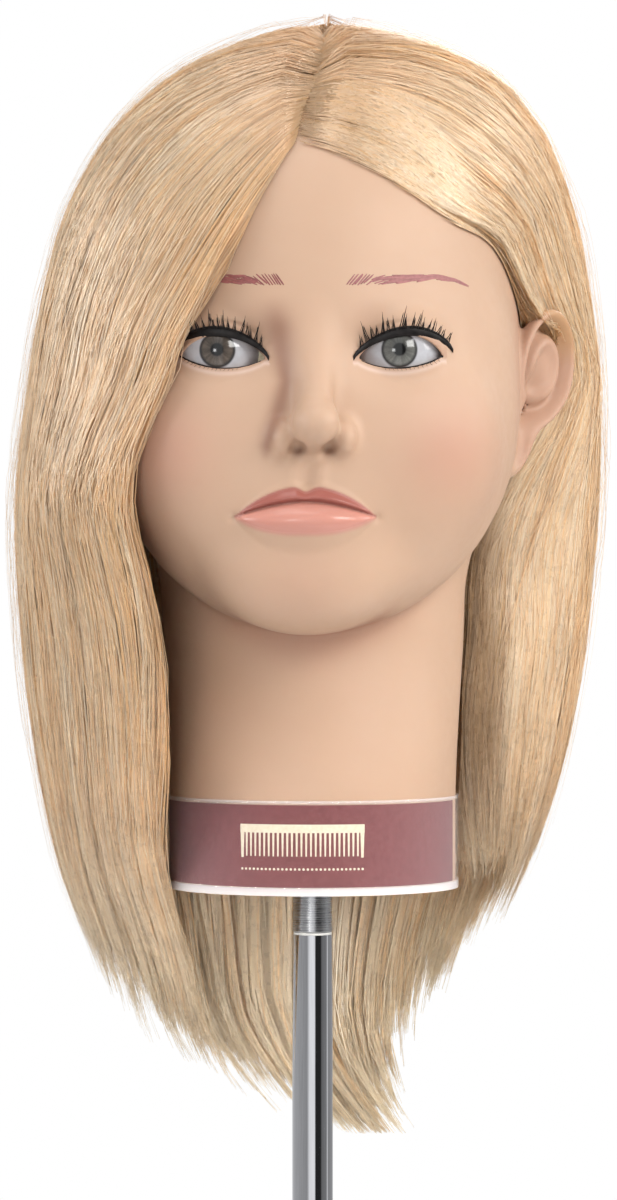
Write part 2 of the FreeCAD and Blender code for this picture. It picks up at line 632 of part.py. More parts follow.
# ---------------------------------------------------------------------------------------------------------
# Pole, pin and turning plug
# ---------------------------------------------------------------------------------------------------------
def make_pole():
    bottom = "(dims.hinge_z + dims.collar_clear + dims.collar_height)"
    height = f"dims.tube_top - {bottom}"
    outer = cylinder("tube_outer", "dims.tube_radius", height, z=bottom)
    inner = cylinder("tube_inner", "dims.tube_bore", height, z=bottom)
    shell = cut("tube_shell", outer, inner)
    pin_z = "dims.hinge_z + dims.collar_clear + dims.spigot_length / 2"
    cross = cylinder("tube_pin_hole", "dims.roll_pin_radius", "4 * dims.tube_radius",
                     x="-2 * dims.tube_radius", z=pin_z, axis="X")
    keep("pole_tube", cut("pole_tube_cut", shell, cross))
    pin = cylinder("roll_pin_blank", "dims.roll_pin_radius - 0.02", "2 * dims.tube_radius - 0.4",
                   x="-dims.tube_radius + 0.2", z=pin_z, axis="X")
    bore = cylinder("roll_pin_bore", "dims.roll_pin_radius / 2", "4 * dims.tube_radius",
                    x="-2 * dims.tube_radius", z=pin_z, axis="X")
    keep("roll_pin", cut("roll_pin_cut", pin, bore))


def make_pin():
    """The pin has a spigot in the tube, a bearing length for the plug and a groove for the clip."""
    top = "(dims.tube_top + dims.pin_height)"
    clip_z = "(dims.tube_top + dims.glide_thickness + dims.plug_gap + dims.web_z + dims.web_thickness + 0.1)"
    points = [
        ("0", "dims.tube_top - dims.spigot_length"),
        ("dims.tube_bore - dims.spigot_gap - 1", "dims.tube_top - dims.spigot_length"),
        ("dims.tube_bore - dims.spigot_gap", "dims.tube_top - dims.spigot_length + 1"),
        ("dims.tube_bore - dims.spigot_gap", "dims.tube_top"),
        ("dims.pin_radius", "dims.tube_top"),
        ("dims.pin_radius", clip_z),
        ("dims.pin_radius - dims.groove_depth", clip_z),
        ("dims.pin_radius - dims.groove_depth", f"{clip_z} + dims.clip_thickness"),
        ("dims.pin_radius", f"{clip_z} + dims.clip_thickness"),
        ("dims.pin_radius", f"{top} - 0.8"),
        ("dims.pin_radius - 0.8", top),
        ("0", top),
    ]
    keep("swivel_pin", turned("swivel_pin", points))
    ring = cylinder("clip_blank", "dims.clip_radius", "dims.clip_thickness - 0.1", z=f"{clip_z} + 0.05")
    hole = cylinder("clip_hole", "dims.pin_radius - dims.groove_depth + 0.05", "4", z=f"{clip_z} - 1")
    gap = box("clip_gap", "2 * dims.clip_radius", "3", "4", "0", "-1.5", f"{clip_z} - 1")
    keep("retaining_clip", cut("retaining_clip_cut", ring, fuse("clip_opening", hole, gap)))
    glide = cylinder("glide_blank", "dims.tube_radius - 0.4", "dims.glide_thickness", z="dims.tube_top")
    glide_hole = cylinder("glide_hole", "dims.pin_radius + 0.1", "4", z="dims.tube_top - 1")
    keep("glide_ring", cut("glide_ring_cut", glide, glide_hole))


def make_plug():
    base = "(dims.tube_top + dims.glide_thickness + dims.plug_gap)"
    top = f"({base} + dims.plug_length)"
    web = f"({base} + dims.web_z)"
    pocket = f"({web} + dims.web_thickness)"
    running = "dims.pin_radius + dims.bush_gap"
    points = [
        ("dims.bush_outer", base),
        ("dims.plug_radius - 0.4", base),
        ("dims.plug_radius", f"{base} + 0.4"),
        ("dims.plug_top_radius", f"{top} - 0.4"),
        ("dims.plug_top_radius - 0.4", top),
        ("dims.pocket_radius", top),
        ("dims.pocket_radius", pocket),
        (running, pocket),
        (running, web),
        ("dims.bush_outer", web),
    ]
    keep("swivel_plug", turned("swivel_plug", points))
    bush = [
        (running, f"{base} + 0.1"),
        ("dims.bush_outer", f"{base} + 0.1"),
        ("dims.bush_outer", f"{web} - 0.1"),
        (running, f"{web} - 0.1"),
    ]
    keep("plug_bush", turned("plug_bush", bush))
    cap = [
        ("0", f"{top} - dims.cap_thickness"),
        ("dims.pocket_radius", f"{top} - dims.cap_thickness"),
        ("dims.pocket_radius", f"{top}"),
        ("dims.pocket_radius - 1.2", f"{top} + 0.5"),
        ("0", f"{top} + 0.7"),
    ]
    keep("plug_cap", turned("plug_cap", cap))


# ---------------------------------------------------------------------------------------------------------
# Head: shapes that neither primitives nor sketches fit
# ---------------------------------------------------------------------------------------------------------
# Head sections: (height over the neck's foot, half width, front, back)
HEAD_SECTIONS = [
    (0, 52.8, -52.8, 52.8),
    (34, 52.8, -52.8, 52.8),
    (62, 56, -53, 55),
    (84, 57, -58, 60),
    (96, 57, -79, 64),
    (108, 60, -87, 68),
    (135, 66, -90, 78),
    (165, 71, -88, 88),
    (200, 74, -84, 94),
    (235, 74, -82, 95),
    (265, 67, -70, 90),
    (288, 52, -46, 75),
    (302, 33, -20, 55),
    (309, 10, 5, 30),
]
# Hair's outer surface: (height over the neck's foot, left, right, front, back)
HAIR_SECTIONS = [
    (-101, 16, 40, 44, 66),
    (-84, -26, 38, 34, 74),
    (-57, -54, 40, 20, 82),
    (-27, -75, 56, 0, 88),
    (2, -90, 72, -30, 94),
    (32, -100, 87, -58, 98),
    (69, -107, 98, -78, 102),
    (106, -111, 105, -88, 105),
    (143, -112, 109, -94, 107),
    (180, -107, 109, -98, 110),
    (217, -98, 105, -98, 110),
    (257, -84, 96, -88, 104),
    (287, -64, 78, -66, 88),
    (304, -42, 58, -38, 66),
    (314, -20, 34, -10, 44),
    (319.5, -4, 14, 8, 28),
]
SIDES = 16


def ring(height, left, right, front, back):
    """A closed smooth curve in a level plane, through points of an ellipse within those limits."""
    cx, cy, rx, ry = (left + right) / 2, (front + back) / 2, (right - left) / 2, (back - front) / 2
    turns = [2 * math.pi * i / SIDES for i in range(SIDES)]
    points = [Vector(cx + rx * math.cos(a), cy + ry * math.sin(a), height) for a in turns]
    curve = Part.BSplineCurve()
    curve.interpolate(Points=points, PeriodicFlag=True)
    return Part.Wire([curve.toShape()])


def head_form(grow):
    """The head and neck as one closed solid, grown or shrunk by grow."""
    foot = dim("neck_z")
    lowest = -1 if grow else 0
    rings = []
    for index, (up, half, front, back) in enumerate(HEAD_SECTIONS):
        level = foot + up + (grow if index == len(HEAD_SECTIONS) - 1 else 0) + (lowest if index == 0 else 0)
        rings.append(ring(level, -half - grow, half + grow, front - grow, back + grow))
    return Part.makeLoft(rings, True, True)


def ellipsoid(half_x, half_y, half_z, centre, turn=None, poles=Vector(0, 0, 1)):
    matrix = Matrix()
    matrix.scale(half_x, half_y, half_z)
    shape = Part.makeSphere(1, Vector(), poles).transformGeometry(matrix)
    shape.Placement = Placement(centre, turn or Rotation())
    return shape


def ear(side, grow=0.0):
    """A flattened ear that stands off the side of the head."""
    centre = Vector(side * dim("ear_out"), dim("ear_back"), dim("neck_z") + dim("ear_up"))
    sizes = [dim(a) + grow for a in ("ear_half_thickness", "ear_half_depth", "ear_half_height")]
    return ellipsoid(*sizes, centre, Rotation(Vector(0, 0, 1), -side * dim("ear_turn")))


def nose(grow=0.0):
    centre = Vector(0, dim("nose_front"), dim("neck_z") + dim("nose_up"))
    sizes = [dim(a) + grow for a in ("nose_half_width", "nose_half_depth", "nose_half_height")]
    return ellipsoid(*sizes, centre, Rotation(Vector(1, 0, 0), -dim("nose_lean")))


def outer_form(grow=0.0):
    return head_form(grow).fuse(nose(grow)).fuse([ear(1, grow), ear(-1, grow)])


def eye(side, grow=0.0):
    centre = Vector(side * dim("eye_x"), dim("eye_depth"), dim("neck_z") + dim("eye_up"))
    sizes = [dim(a) + grow for a in ("eye_half_width", "eye_half_depth", "eye_half_height")]
    return ellipsoid(*sizes, centre, poles=Vector(0, 1, 0))


def feature(name, shape):
    """A finished shape held in the document."""
    if shape.ShapeType == "Compound" and len(shape.Solids) == 1:
        shape = shape.Solids[0]
    thing = doc.addObject("Part::Feature", name + "_feature")
    thing.Shape = shape
    return keep(name, thing)


def slab(x0, x1, y0, y1, z0, z1):
    return Part.makeBox(x1 - x0, y1 - y0, z1 - z0, Vector(x0, y0, z0))


def make_head():
    foot, gap, thick = dim("neck_z"), dim("layer_gap"), dim("skin_thickness")
    inner_radius = dim("neck_radius") - thick
    flange = dim("flange_thickness")
    cavity = head_form(-thick)
    holes = [eye(1, gap / 2), eye(-1, gap / 2)]
    skin = outer_form()
    for tool in (cavity, *holes):
        skin = skin.cut(tool)
    feature("head_skin", skin)
    core = head_form(-thick - gap)
    below_core = Part.makeCylinder(2 * inner_radius, 2 * flange, Vector(0, 0, foot - flange + gap))
    tube_radius, tube_height = dim("socket_radius") + gap, dim("socket_height") + gap
    socket_room = Part.makeCylinder(tube_radius, tube_height, Vector(0, 0, foot))
    for tool in (below_core, socket_room, *holes):
        core = core.cut(tool)
    feature("foam_core", core)
    feature("eye_left", eye(1))
    feature("eye_right", eye(-1))


def make_socket():
    """The hard insert in the neck: a flange that closes it and a tapered, blind socket for the plug."""
    foot = "dims.neck_z"
    plug_base = "(dims.tube_top + dims.glide_thickness + dims.plug_gap)"
    roof = f"({plug_base} + dims.plug_length + dims.socket_room)"
    slope = "((dims.plug_radius - dims.plug_top_radius) / dims.plug_length)"
    mouth = f"(dims.plug_radius - {slope} * (dims.neck_z - {plug_base}) + dims.socket_gap)"
    inner = "(dims.neck_radius - dims.skin_thickness - dims.layer_gap)"
    points = [
        (mouth, foot),
        (inner, foot),
        (inner, f"{foot} + dims.flange_thickness - dims.layer_gap"),
        ("dims.socket_radius", f"{foot} + dims.flange_thickness - dims.layer_gap"),
        ("dims.socket_radius", f"{foot} + dims.socket_height - 2"),
        ("dims.socket_radius - 2", f"{foot} + dims.socket_height"),
        ("0", f"{foot} + dims.socket_height"),
        ("0", roof),
        (f"dims.plug_top_radius + dims.socket_gap", roof),
    ]
    keep("neck_socket", turned("neck_socket", points))


def sector(name, inner, thickness, height, z, start, sweep):
    """A thin curved strip round the neck, from one angle through a sweep, both expressions in degrees."""
    outer_rod = cylinder(name + "_outer", f"{inner} + {thickness}", height, z=z)
    bind(outer_rod, Angle=sweep)
    inner_rod = cylinder(name + "_inner", inner, f"{height} + 2", z=f"{z} - 1")
    strip = cut(name + "_strip", outer_rod, inner_rod)
    strip.Placement = Placement(Vector(), Rotation(Vector(0, 0, 1), number(start)))
    return strip


def make_label():
    inner = "(dims.neck_radius + dims.label_gap)"
    label = sector("label", inner, "dims.label_thickness", "dims.label_height",
                   "dims.neck_z + dims.label_bottom", "-90 - dims.label_left",
                   "dims.label_left + dims.label_right")
    keep("neck_label", label)
    sleeve_inner = f"({inner} + dims.label_thickness + dims.sleeve_gap)"
    full = sector("sleeve", sleeve_inner, "dims.sleeve_thickness", "dims.sleeve_height", "dims.neck_z",
                  "0", "360")
    flap = sector("sleeve_flap", f"{sleeve_inner} + dims.sleeve_thickness", "dims.sleeve_thickness",
                  "dims.sleeve_height", "dims.neck_z", "-90 - dims.label_left - 5", "12")
    keep("clear_sleeve", fuse("clear_sleeve_fused", full, flap))


def make_lashes():
    """Each strip is a thin arched band that lies on the skin over the eye."""
    gap, thick = dim("layer_gap") / 2, dim("lash_thickness")
    band, arc = dim("lash_band"), dim("lash_arc")
    layer = outer_form(gap + thick).cut(outer_form(gap))
    for name, side in (("lash_strip_left", 1), ("lash_strip_right", -1)):
        centre_z = dim("neck_z") + dim("eye_up") + dim("eye_half_height") + band - arc
        centre = Vector(side * dim("eye_x"), -120, centre_z)
        arch = Part.makeCylinder(arc + band, 80, centre, Vector(0, 1, 0))
        arch = arch.cut(Part.makeCylinder(arc, 82, centre - Vector(0, 1, 0), Vector(0, 1, 0)))
        reach = dim("eye_half_width")
        window = slab(centre.x - reach, centre.x + reach, -120, 0, centre_z + arc * 0.35, centre_z + 2 * arc)
        feature(name, layer.common(arch).common(window).cut(eye(side, gap)))


def make_hair():
    """The hair as five soft masses that leave the face, the left ear and the neck free."""
    foot, gap = dim("neck_z"), dim("layer_gap")
    rings = [ring(foot + up, *limits) for up, *limits in HAIR_SECTIONS]
    mass = Part.makeLoft(rings, True, True)
    thin = dim("hair_thickness")
    hollow_rings = []
    for up, left, right, front, back in HAIR_SECTIONS[:12]:
        room = thin if up > dim("tip_narrow_up") else 0.3 * (right - left)
        hollow_rings.append(ring(foot + up, left + room, right - room, front + thin, back - thin))
    below = ring(foot - 103, 24, 32, 52, 58)
    hollow = Part.makeLoft([below, *hollow_rings], True, True)
    head = outer_form(2 * gap)
    neck_room = dim("hair_neck_room")
    sleeve = Part.makeCylinder(dim("neck_radius") + neck_room, dim("sleeve_height") + neck_room,
                               Vector(0, 0, foot - neck_room / 2))
    pole_room = Part.makeCylinder(dim("hair_pole_room"), 120, Vector(0, 0, foot - 110))
    outline_points = ((-8, 272), (58, 232), (74, 214), (120, 214), (120, -20), (45, -110),
                      (-30, -110), (-50, 0), (-58, 90), (-62, 110), (-40, 190), (-8, 272))
    face = Part.makePolygon([Vector(x, -140, foot + z) for x, z in outline_points])
    opening = Part.Face(face).extrude(Vector(0, 152, 0))
    locks = mass.cut([hollow, head, sleeve, pole_room, opening])
    split, top = dim("hair_split"), foot + dim("crown_up")
    regions = {
        "hair_crown": slab(-150, 150, -150, 150, top + gap, foot + 400),
        "hair_right_side": slab(-150, -gap / 2, -150, split, foot - 150, top),
        "hair_left_side": slab(gap / 2, 150, -150, split, foot - 150, top),
        "hair_back_right": slab(-150, -gap / 2, split + gap, 150, foot - 150, top),
        "hair_back_left": slab(gap / 2, 150, split + gap, 150, foot - 150, top),
    }
    for name, region in regions.items():
        mass_part = locks.common(region)
        solids = sorted(mass_part.Solids, key=lambda s: -s.Volume)
        feature(name, solids[0])


make_clamp_frame()
make_seat_pad()
make_fork()
make_fork_screw()
make_clamp_screw()
make_tommy_bar()
make_pressure_pad()
make_hinge()
make_hinge_bolt()
make_lever()
make_pole()
make_pin()
make_plug()
make_socket()
make_label()
make_head()
make_lashes()
make_hair()

doc.recompute()
for thing in doc.Objects:
    if {"Invalid", "Error"} & set(thing.State):
        raise RuntimeError(f"{thing.Name} failed: {thing.State}")
for name, thing in made.items():
    shape = thing.Shape
    if shape.isNull() or not shape.isValid() or not shape.Solids:
        raise RuntimeError(f"{name} has no valid solid")
    shape.exportStep(os.path.join("parts", name + ".step"))
    print(f"{name}: {shape.Volume / 1000:.2f} cm3, {len(shape.Solids)} solid")
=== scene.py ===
"""The looks of a hairdresser's training head: its face, rooted hair, label, pole and table clamp.

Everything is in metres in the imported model's own frame: +Z is up and the face looks along -Y. Shapes of the
head and the hair are worked out in millimetres above the neck's foot and then put into that frame.
"""
import math

import bpy
import numpy as np
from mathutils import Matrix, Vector


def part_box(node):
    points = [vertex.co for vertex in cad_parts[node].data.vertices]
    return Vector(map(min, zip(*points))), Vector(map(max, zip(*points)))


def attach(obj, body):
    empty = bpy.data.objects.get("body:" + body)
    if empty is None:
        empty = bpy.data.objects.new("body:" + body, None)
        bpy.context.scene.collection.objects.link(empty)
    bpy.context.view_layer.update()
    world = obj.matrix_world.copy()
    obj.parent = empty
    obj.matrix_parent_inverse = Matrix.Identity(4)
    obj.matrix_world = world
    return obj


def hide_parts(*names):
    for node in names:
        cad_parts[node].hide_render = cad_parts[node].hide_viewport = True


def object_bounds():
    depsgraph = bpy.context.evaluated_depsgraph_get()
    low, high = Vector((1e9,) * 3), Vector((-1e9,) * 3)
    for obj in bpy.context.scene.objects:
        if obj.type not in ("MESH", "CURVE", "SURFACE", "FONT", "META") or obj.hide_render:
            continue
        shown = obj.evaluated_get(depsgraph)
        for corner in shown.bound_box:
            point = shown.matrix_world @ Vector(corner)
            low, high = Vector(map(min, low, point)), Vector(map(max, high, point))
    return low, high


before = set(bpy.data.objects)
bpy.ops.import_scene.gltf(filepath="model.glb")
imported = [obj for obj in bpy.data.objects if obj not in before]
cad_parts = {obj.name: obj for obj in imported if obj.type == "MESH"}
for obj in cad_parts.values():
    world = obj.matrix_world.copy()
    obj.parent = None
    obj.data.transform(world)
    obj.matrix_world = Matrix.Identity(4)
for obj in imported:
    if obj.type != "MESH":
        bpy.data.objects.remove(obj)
cad_low, cad_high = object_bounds()
MM = 0.001
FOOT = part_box("head_skin")[0].z / MM
rng = np.random.default_rng(7)


# ---------------------------------------------------------------------------------------------------------
# Mesh helpers
# ---------------------------------------------------------------------------------------------------------
def in_scene(name, data):
    """A new object of the scene with this mesh, lamp or camera."""
    thing = bpy.data.objects.new(name, data)
    bpy.context.scene.collection.objects.link(thing)
    return thing


def mesh_object(name, verts_mm, face_arrays, colours=None, gloss=None):
    """A smooth mesh from millimetres above the neck's foot, with an array for each kind of face."""
    verts = (np.asarray(verts_mm, float) + (0, 0, FOOT)) * MM
    sizes = np.concatenate([np.full(len(a), a.shape[1], np.int32) for a in face_arrays])
    loops = np.concatenate([a.ravel() for a in face_arrays]).astype(np.int32)
    mesh = bpy.data.meshes.new(name)
    mesh.vertices.add(len(verts))
    mesh.vertices.foreach_set("co", verts.astype(np.float32).ravel())
    mesh.loops.add(len(loops))
    mesh.loops.foreach_set("vertex_index", loops)
    mesh.polygons.add(len(sizes))
    mesh.polygons.foreach_set("loop_start", np.concatenate([[0], np.cumsum(sizes)[:-1]]).astype(np.int32))
    mesh.polygons.foreach_set("use_smooth", np.full(len(sizes), True))
    mesh.update(calc_edges=True)
    if colours is not None:
        layer = mesh.color_attributes.new("tint", "FLOAT_COLOR", "POINT")
        rgba = np.concatenate([colours, np.ones((len(verts), 1))], axis=1)
        layer.data.foreach_set("color", rgba.astype(np.float32).ravel())
    if gloss is not None:
        layer = mesh.attributes.new("gloss", "FLOAT", "POINT")
        layer.data.foreach_set("value", np.asarray(gloss, np.float32))
    return in_scene(name, mesh)


def tube_faces(rings, sides):
    """Quads round a tube whose points come ring after ring, with this many points in each."""
    j = np.arange(rings - 1)[:, None] * sides
    k = np.arange(sides)[None, :]
    a, b = j + k, j + (k + 1) % sides
    return np.stack([a, b, b + sides, a + sides], -1)


def unit(vectors):
    """Vectors of length one, along the last axis."""
    return vectors / np.maximum(np.linalg.norm(vectors, axis=-1, keepdims=True), 1e-9)


def smoothstep(low, high, value):
    t = np.clip((value - low) / (high - low), 0.0, 1.0)
    return t * t * (3 - 2 * t)


# ---------------------------------------------------------------------------------------------------------
# Material helpers
# ---------------------------------------------------------------------------------------------------------
def new_material(name, colour=(0.5, 0.5, 0.5), roughness=0.5, metallic=0.0):
    """A Principled material and its shader node."""
    material = bpy.data.materials.new(name)
    material.use_nodes = True
    shader = material.node_tree.nodes["Principled BSDF"]
    shader.inputs["Base Color"].default_value = (*colour, 1)
    shader.inputs["Roughness"].default_value = roughness
    shader.inputs["Metallic"].default_value = metallic
    return material, shader


def add(material, kind, settings=None, **links):
    """A node with its settings as properties or socket values, and its links from other sockets."""
    node = material.node_tree.nodes.new("ShaderNode" + kind)
    for key, value in (settings or {}).items():
        if isinstance(key, str) and hasattr(node, key):
            setattr(node, key, value)
        else:
            node.inputs[key].default_value = value
    for key, socket in links.items():
        target = node.inputs[int(key[1:])] if key[0] == "i" and key[1:].isdigit() else node.inputs[key]
        material.node_tree.links.new(socket, target)
    return node


def join(material, source, target):
    material.node_tree.links.new(source, target)


def ramp(material, factor, *stops):
    """A colour ramp. Each stop is a position and a colour."""
    node = material.node_tree.nodes.new("ShaderNodeValToRGB")
    elements = node.color_ramp.elements
    while len(elements) < len(stops):
        elements.new(0.5)
    for element, (position, colour) in zip(elements, stops):
        element.position = position
        element.color = (*colour, 1) if len(colour) == 3 else colour
    join(material, factor, node.inputs["Fac"])
    return node.outputs["Color"]


def place(material, scale=(1, 1, 1)):
    """Object coordinates, scaled."""
    source = add(material, "TexCoord").outputs["Object"]
    return add(material, "Mapping", {"Scale": scale}, Vector=source).outputs[0]


def noise(material, scale, detail=3.0, vector=None, output="Fac"):
    settings = {"Scale": scale, "Detail": detail}
    return add(material, "TexNoise", settings, Vector=vector or place(material)).outputs[output]


def bump(material, shader, height, strength=0.3, distance=0.0002):
    node = add(material, "Bump", {"Strength": strength, "Distance": distance}, Height=height)
    join(material, node.outputs[0], shader.inputs["Normal"])


def rough_noise(material, shader, scale, detail, low, high):
    """Roughness that varies between two values."""
    varied = ramp(material, noise(material, scale, detail), (0.3, (low,) * 3), (0.7, (high,) * 3))
    join(material, varied, shader.inputs["Roughness"])
    return varied


def colour_noise(material, shader, scale, detail, low, high):
    """A base colour that varies between two tones."""
    join(material, ramp(material, noise(material, scale, detail), (0.3, low), (0.7, high)),
         shader.inputs["Base Color"])


def painted(material, shader, scale, detail, low, high=(1, 1, 1), span=(0.3, 0.7)):
    """The mesh's own colours as the base colour, worn by a noise between two tones."""
    tint = add(material, "VertexColor", {"layer_name": "tint"}).outputs["Color"]
    worn = ramp(material, noise(material, scale, detail), (span[0], low), (span[1], high))
    mix = add(material, "Mix", {"data_type": "RGBA", "blend_type": "MULTIPLY"}, i6=tint, i7=worn)
    mix.inputs[0].default_value = 1.0
    join(material, mix.outputs[2], shader.inputs["Base Color"])
    return mix.outputs[2]


def surface(material, output):
    """Puts a shader in the material's output."""
    join(material, output, material.node_tree.nodes["Material Output"].inputs["Surface"])


def dress(thing, material):
    """The material on a piece or a CAD node, in place of what it had."""
    thing.data.materials.clear()
    thing.data.materials.append(material)
    return thing


def on_head(thing, slot, material, *replaced):
    """A piece that rides on the head, in place of CAD nodes if any are named."""
    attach(thing, "head")
    if replaced:
        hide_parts(*replaced)
    dress(thing, material)


# ---------------------------------------------------------------------------------------------------------
# Camera, light and floor
# ---------------------------------------------------------------------------------------------------------
EYE_HEIGHT = FOOT + 105.8
DISTANCE = 1500
TURN = math.radians(1.1)
AXIS_OFFSET = 1.5


def make_camera():
    data = bpy.data.cameras.new("camera")
    data.lens = 121.6
    data.sensor_width = 36
    data.clip_end = 50
    camera = in_scene("camera", data)
    right = Vector((math.cos(TURN), math.sin(TURN), 0))
    back = Vector((math.sin(TURN), -math.cos(TURN), 0))
    camera.location = (back * DISTANCE - right * AXIS_OFFSET + Vector((0, 0, EYE_HEIGHT))) * MM
    camera.rotation_euler = (math.radians(90), 0, TURN)
    bpy.context.scene.camera = camera


COOL = (0.98, 0.98, 1)
NEAR_WHITE = (1, 0.99, 0.97)
WARM = (1, 0.98, 0.95)
# Square lamps aimed at the head: azimuth (0 in front, growing towards +X), elevation, distance, size, power,
# colour, and the height that they are aimed at
LAMPS = {
    "key": (45, 25, 1.7, 0.6, 13.8, (1, 0.985, 0.965), 0.45),
    "front": (-16, 4, 2.0, 0.34, 4.5, (1, 1, 1), 0.45),
    "low_right": (30, 2, 1.8, 0.9, 8, WARM, 0.19),
    "low_front": (2, 2, 1.8, 0.9, 3, WARM, 0.19),
    "low_narrow": (-4, 2, 1.8, 0.3, 0.10, (1, 0.95, 0.88), 0.19),
    "top": (-20, 70, 1.5, 1.1, 9, (1, 1, 1), 0.45),
    "left": (-78, 20, 1.9, 0.9, 17, COOL, 0.24),
    "right": (85, 28, 1.9, 0.9, 15, NEAR_WHITE, 0.2),
    "rear": (160, 34, 1.8, 1.0, 26, NEAR_WHITE, 0.35),
}
NARROW_SPREAD = math.radians(12)


def make_lamps():
    """The low ones only fill in: they don't show in bright metal or in the eyes."""
    for name, (azimuth, elevation, distance, size, power, colour, height) in LAMPS.items():
        data = bpy.data.lights.new(name, "AREA")
        data.size = size
        data.energy = power
        data.color = colour
        if name == "low_narrow":
            data.spread = NARROW_SPREAD
        lamp = in_scene(name, data)
        lamp.visible_glossy = not name.startswith("low")
        a, e = math.radians(azimuth), math.radians(elevation)
        way = Vector((math.sin(a) * math.cos(e), -math.cos(a) * math.cos(e), math.sin(e)))
        lamp.location = Vector((0, 0, height)) + way * distance
        lamp.rotation_euler = (-way).to_track_quat("-Z", "Y").to_euler()


def make_world():
    """White to the camera, soft light for the rest, and upright bands for bright metal to mirror."""
    world = bpy.data.worlds.new("studio")
    bpy.context.scene.world = world
    world.use_nodes = True
    world.node_tree.nodes.clear()
    split = add(world, "SeparateXYZ", None, i0=add(world, "TexCoord").outputs["Generated"]).outputs
    flip = add(world, "Math", {"operation": "MULTIPLY"}, i0=split["Y"])
    flip.inputs[1].default_value = -1
    angle = add(world, "Math", {"operation": "ARCTAN2"}, i0=split["X"], i1=flip.outputs[0]).outputs[0]
    turn = add(world, "MapRange", {"From Min": -math.pi, "From Max": math.pi}, Value=angle).outputs["Result"]
    # how bright the room is in the mirror at each azimuth
    stops = [(-180, 0.75), (-120, 0.42), (-30, 0.30), (-15, 0.9), (13, 0.9), (18, 0.02), (48, 0.02),
             (56, 0.16), (88, 0.22), (94, 0.75), (102, 0.26), (150, 0.35), (180, 0.75)]
    bands = ramp(world, turn, *[((degrees + 180) / 360, (value * 0.97, value * 0.98, value))
                                for degrees, value in stops])
    rays = add(world, "LightPath").outputs
    soft = add(world, "Background", {"Color": (0.94, 0.97, 1.0, 1), "Strength": 0.52}).outputs[0]
    white = add(world, "Background", {"Color": (1, 1, 1, 1), "Strength": 1.0}).outputs[0]
    mirror = add(world, "Background", {"Strength": 1.0}, Color=bands).outputs[0]
    glossy = add(world, "MixShader", None, i0=rays["Is Glossy Ray"], i1=soft, i2=mirror).outputs[0]
    seen = add(world, "MixShader", None, i0=rays["Is Camera Ray"], i1=glossy, i2=white).outputs[0]
    add(world, "OutputWorld", None, Surface=seen)


def make_floor():
    """A pale round floor under the clamp that fades into the white of the room."""
    radius, level, count = 1.15, cad_low[2] - 0.004, 96
    turns = [2 * math.pi * i / count for i in range(count)]
    mesh = bpy.data.meshes.new("floor")
    rim = [(radius * math.cos(a), radius * math.sin(a), level) for a in turns]
    mesh.from_pydata(rim, [], [list(range(count))])
    floor = in_scene("floor", mesh)
    material, shader = new_material("floor_paint", (0.82, 0.82, 0.83), 0.6)
    source = add(material, "TexCoord").outputs["Object"]
    length = add(material, "VectorMath", {"operation": "LENGTH"}, i0=source).outputs["Value"]
    fade = ramp(material, length, (0.35, (0, 0, 0)), (1.0, (1, 1, 1)))
    clear = add(material, "BsdfTransparent").outputs[0]
    surface(material, add(material, "MixShader", None, i0=fade, i1=shader.outputs[0], i2=clear).outputs[0])
    dress(floor, material)


# ---------------------------------------------------------------------------------------------------------
# Head: one smooth solid worked out as a distance field
# ---------------------------------------------------------------------------------------------------------
SCALP_CENTRE = (0, 8, 213)
SCALP_RADII = (76.8, 92.5, 97.5)
SKIN_THICKNESS = 3.5
NECK_EXTRA = 3.8
EYE = np.array((31.2, -66.5, 193.0))
EYE_RADIUS = 16.2
LID_RADIUS = 17.4
IRIS = np.array((31.9, 193.4))
EYE_INNER = 16.4
EYE_OUTER = 45.7
MOUTH_HALF = 24.7
EAR_ROOT = np.array((75.5, -7.0, 181.0))
EAR_FLARE = math.radians(38)
# points lower than this are on the head's flat foot
FOOT_EDGE = 0.6


def blend(a, b, reach):
    """The union of two distance fields with a soft seam."""
    h = np.clip(0.5 + 0.5 * (b - a) / reach, 0, 1)
    return b + (a - b) * h - reach * h * (1 - h)


def carve(a, b, reach):
    """The first field without the second."""
    return -blend(-a, b, reach)


def egg(p, centre, radii):
    """Distance to an ellipsoid, near enough close to its surface."""
    q = [(p[i] - centre[i]) / radii[i] for i in range(3)]
    k0 = np.sqrt(q[0] ** 2 + q[1] ** 2 + q[2] ** 2)
    k1 = np.sqrt(sum((q[i] / radii[i]) ** 2 for i in range(3)))
    return k0 * (k0 - 1) / np.maximum(k1, 1e-6)


def rod(p, a, b, radius_a, radius_b):
    """Distance to a round rod whose radius changes from one end to the other."""
    way = np.subtract(b, a)
    along = sum((p[i] - a[i]) * way[i] for i in range(3)) / float(way @ way)
    t = np.clip(along, 0, 1)
    away = np.sqrt(sum((p[i] - a[i] - way[i] * t) ** 2 for i in range(3)))
    return away - (radius_a + (radius_b - radius_a) * t)


def middle(z):
    """The face's own midline leans a little over its height."""
    return 0.035 * (np.clip(z, 120, 225) - 160)


def lid_edges(x):
    """The upper and lower edge of the eye's opening over x, and how far x is along it, from 0 to 1."""
    q = (x - EYE_INNER) / (EYE_OUTER - EYE_INNER)
    inside = np.clip(q, 0, 1)
    base = 190.3 + 1.2 * inside
    arch = 4 * inside * (1 - inside)
    upper = base + 7.6 * arch ** 0.72 * (1 + 0.12 * (inside - 0.5))
    lower = base - 3.9 * arch ** 0.85
    return upper, lower, q


